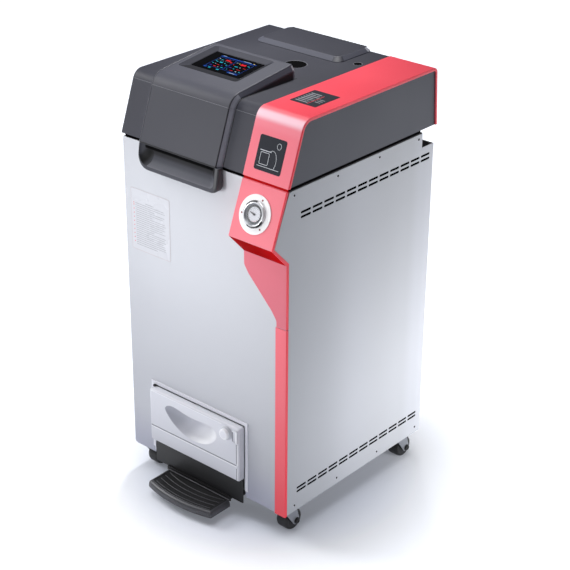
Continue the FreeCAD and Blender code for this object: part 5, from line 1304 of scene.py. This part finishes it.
def hoop(g, r, z, t, n=72, m=0):
    ring(g, [(r + t * math.cos(a * math.pi / 4), z + t * math.sin(a * math.pi / 4)) for a in range(8)], n, m)


g = Geo()
g.lathe([(0, 240.2), (60, 241.5), (100, 245.5), (126, 253), (146, 266), (158, 283), (163.4, 300), (164, 306), (164, 792), (187.2, 792), (188, 792.8),
         (188, 804.2), (187.2, 805), (161.2, 805), (160, 803.8), (160, 306), (155, 286), (143, 271), (124, 257.6), (98, 251), (60, 247.4), (0, 246.2)], VC, n=112)
vessel = build("chamber_shell", g, STEEL, "cabinet", ["chamber_vessel"], angle=40)
g = Geo()
for zz in (470.0, 640.0):
    ring(g, [(160.2, zz - 1.0), (159.3, zz), (160.2, zz + 1.0), (161.0, zz)], 96)
build("chamber_seams", g, STEEL_LID, "cabinet")
g = Geo()
ring(g, [(166, 256), (203.4, 256), (204.2, 257), (204.2, 791), (203.4, 791.9), (166, 791.9)], 96)
for zz in (318.0, 524.0, 730.0):
    ring(g, [(203.8, zz - 9), (204.8, zz - 9), (205.0, zz - 8.6), (205.0, zz + 8.6), (204.8, zz + 9), (203.8, zz + 9)], 96, 1)
build("jacket_shell", g, [FOIL, STEEL_LID], "cabinet", ["insulation_jacket"], angle=40)
g = Geo()
for k in range(48):
    a = 2 * math.pi * k / 48
    x, y = VC[0] + 147.1 * math.cos(a), VC[1] + 147.1 * math.sin(a)
    g.tube([(x, y, 288.2), (x, y, 553.5)], 0.9, 6)
for zz in (288.3, 332.0, 376.0, 420.0, 464.0, 508.0):
    hoop(g, 147.2, zz, 1.2)
hoop(g, 148.9, 553.9, 2.1)
for k in range(-8, 9):
    h = 16.8 * k
    w = math.sqrt(146.4 ** 2 - h * h)
    g.tube([(VC[0] + h, VC[1] - w, 288.1), (VC[0] + h, VC[1] + w, 288.1)], 0.9, 6)
    g.tube([(VC[0] - w, VC[1] + h, 289.3), (VC[0] + w, VC[1] + h, 289.3)], 0.8, 6)
for sgn in (-1, 1):
    g.tube([(VC[0] + 145.4 * sgn * math.cos(t * 0.05), VC[1] + 145.4 * math.sin(t * 0.05), 512.0 + 3.0 * abs(t)) for t in range(-5, 6)], 1.4, 8)
build("basket_wires", g, STEEL_LID, "cabinet", ["sterilizing_basket"], angle=60)

# ---- parts kept from the CAD ----------------------------------------------------------

KEEP = {
    "base_tray": BLACK, "rear_panel": PAINT, "top_deck": BLACK, "compartment_liner": LINER, "drain_bottle": BOTTLE, "pedal_lever": BLACK,
    "pedal_pivot": BLACK, "release_rod": ZINC, "latch_hook": ZINC, "vessel_stand": BLACK,
    "heater_element": STEEL_LID, "support_plate": STEEL_LID, "control_box": GREY_BOX, "power_inlet": INLET,
    "drain_valve": BRASS, "hinge_brackets": ZINC, "hinge_pin": STEEL_LID, "hinge_arms": ZINC, "lid_inner_pan": STEEL_LID, "pressure_lid": STEEL_LID,
    "lid_gasket": SILICONE, "safety_valve": BRASS, "caster_plates": ZINC,
}
for name, material in KEEP.items():
    ob = nodes[name]
    ob.data.materials.clear()
    ob.data.materials.append(material)

# ---- setting, light, camera -----------------------------------------------------------

# Pale floor that glows to read white. Near the object its colour falls to a bluish grey and its glow weakens: a painted
# contact shadow. Beyond about a metre toward the camera its glow is turned down.
bpy.ops.mesh.primitive_plane_add(size=60, location=(0, 0, 0))
floor = bpy.context.object
floor.name = "studio_floor"
fm = bpy.data.materials.new("floor_pale_painted_shadow")
fm.use_nodes = True
fb = fm.node_tree.nodes["Principled BSDF"]
fb.inputs["Roughness"].default_value = 0.85
fb.inputs["Specular IOR Level"].default_value = 0.1
fb.inputs["Emission Color"].default_value = (0.86, 0.90, 1.0, 1)
ftc = fm.node_tree.nodes.new("ShaderNodeTexCoord")
fln = fm.node_tree.nodes.new("ShaderNodeVectorMath")
fln.operation = "LENGTH"
floor_glow_shadow_fade = fm.node_tree.nodes.new("ShaderNodeMapRange")
floor_glow_shadow_fade.interpolation_type = "SMOOTHSTEP"
for key, val in (("From Min", 0.33), ("From Max", 0.60), ("To Min", 0.175), ("To Max", 0.66)):
    floor_glow_shadow_fade.inputs[key].default_value = val
fdp = fm.node_tree.nodes.new("ShaderNodeVectorMath")
fdp.operation = "DOT_PRODUCT"
fdp.inputs[1].default_value = (-0.653, 0.757, 0.0)
fms = fm.node_tree.nodes.new("ShaderNodeMapRange")
fms.interpolation_type = "SMOOTHSTEP"
for key, val in (("From Min", -1.00), ("From Max", -0.58), ("To Min", 0.10)):
    fms.inputs[key].default_value = val
fm.node_tree.links.new(ftc.outputs["Object"], fln.inputs[0])
fm.node_tree.links.new(fln.outputs["Value"], floor_glow_shadow_fade.inputs["Value"])
fm.node_tree.links.new(ftc.outputs["Object"], fdp.inputs[0])
fm.node_tree.links.new(fdp.outputs["Value"], fms.inputs["Value"])
fm.node_tree.links.new(floor_glow_shadow_fade.outputs["Result"], fms.inputs["To Max"])
fm.node_tree.links.new(fms.outputs["Result"], fb.inputs["Emission Strength"])
floor_shadow_fade = fm.node_tree.nodes.new("ShaderNodeMapRange")
floor_shadow_fade.interpolation_type = "SMOOTHSTEP"
for key, val in (("From Min", 0.22), ("From Max", 0.42)):
    floor_shadow_fade.inputs[key].default_value = val
floor_shadow_ramp = fm.node_tree.nodes.new("ShaderNodeValToRGB")
floor_shadow_ramp.color_ramp.elements[0].color = (0.60, 0.635, 0.735, 1)
floor_shadow_ramp.color_ramp.elements[1].color = (0.86, 0.87, 0.89, 1)
fm.node_tree.links.new(fln.outputs["Value"], floor_shadow_fade.inputs["Value"])
fm.node_tree.links.new(floor_shadow_fade.outputs["Result"], floor_shadow_ramp.inputs["Fac"])
fm.node_tree.links.new(floor_shadow_ramp.outputs["Color"], fb.inputs["Base Color"])
floor.data.materials.append(fm)

world = bpy.data.worlds.new("studio")
bpy.context.scene.world = world
world.use_nodes = True
bg = world.node_tree.nodes["Background"]
bg.inputs["Color"].default_value = (0.93, 0.95, 1.0, 1)
bg.inputs["Strength"].default_value = 0.05


def area(name, loc, to, size, power, colour=(1, 1, 1)):
    ld = bpy.data.lights.new(name, "AREA")
    ld.shape = "RECTANGLE"
    ld.size, ld.size_y = size
    ld.energy = power
    ld.color = colour
    lo = bpy.data.objects.new(name, ld)
    bpy.context.scene.collection.objects.link(lo)
    lo.location = loc
    lo.rotation_euler = (Vector(to) - Vector(loc)).to_track_quat("-Z", "Y").to_euler()
    return lo


def spot(name, loc, to, angle, power, radius=0.25):
    ld = bpy.data.lights.new(name, "SPOT")
    ld.energy = power
    ld.spot_size = math.radians(angle)
    ld.spot_blend = 1.0
    ld.shadow_soft_size = radius
    lo = bpy.data.objects.new(name, ld)
    bpy.context.scene.collection.objects.link(lo)
    lo.location = loc
    lo.rotation_euler = (Vector(to) - Vector(loc)).to_track_quat("-Z", "Y").to_euler()
    return lo


def sun(name, heading, angle, power):
    ld = bpy.data.lights.new(name, "SUN")
    ld.energy = power
    ld.angle = math.radians(angle)
    lo = bpy.data.objects.new(name, ld)
    bpy.context.scene.collection.objects.link(lo)
    lo.rotation_euler = Vector(heading).to_track_quat("-Z", "Y").to_euler()
    return lo


# Soft pools: the upper left of the front, the lower rear of the right side, the cover's top.
area("soft_left", (-2.2, -0.9, 1.9), (0, 0, 0.8), (1.2, 1.2), 41)
spot("front_pool", (-0.9, -2.6, 0.9), (0.0, -0.21, 0.75), 24, 145)
spot("side_pool_high", (1.6, 1.4, 0.5), (0.243, 0.26, 0.5), 40, 33)
spot("side_pool_mid", (1.9, 1.0, 0.6), (0.243, 0.28, 0.28), 44, 11)
spot("side_pool_low", (2.2, 0.3, 0.7), (0.243, 0.26, 0.2), 26, 105)
spot("top_pool", (-0.6, 0.9, 3.0), (-0.1, 0.0, 1.0), 24, 225)
sun("down_light", (0, 0, -1), 44, 1.40)
sun("down_soft", (0.25, 0.3, -1), 60, 0.40)

cam_d = bpy.data.cameras.new("camera")
cam = bpy.data.objects.new("camera", cam_d)
bpy.context.scene.collection.objects.link(cam)
cam_d.sensor_width = 36.0
cam_d.sensor_fit = "HORIZONTAL"
cam_d.lens = 98.88
cam_d.clip_end = 60
AZ, EL, RO = math.radians(40.802), math.radians(26.4241), math.radians(0.4189)
fwd = Vector((-math.sin(AZ) * math.cos(EL), math.cos(AZ) * math.cos(EL), -math.sin(EL)))
right = Vector((math.cos(AZ), math.sin(AZ), 0))
up = right.cross(fwd)
r_ = right * math.cos(RO) + up * math.sin(RO)
u_ = -right * math.sin(RO) + up * math.cos(RO)
cam.matrix_world = Matrix.Translation((2.16696, -2.44894, 2.12088)) @ Matrix((r_, u_, -fwd)).transposed().to_4x4()
bpy.context.scene.camera = cam
bpy.context.scene.view_settings.view_transform = "Standard"
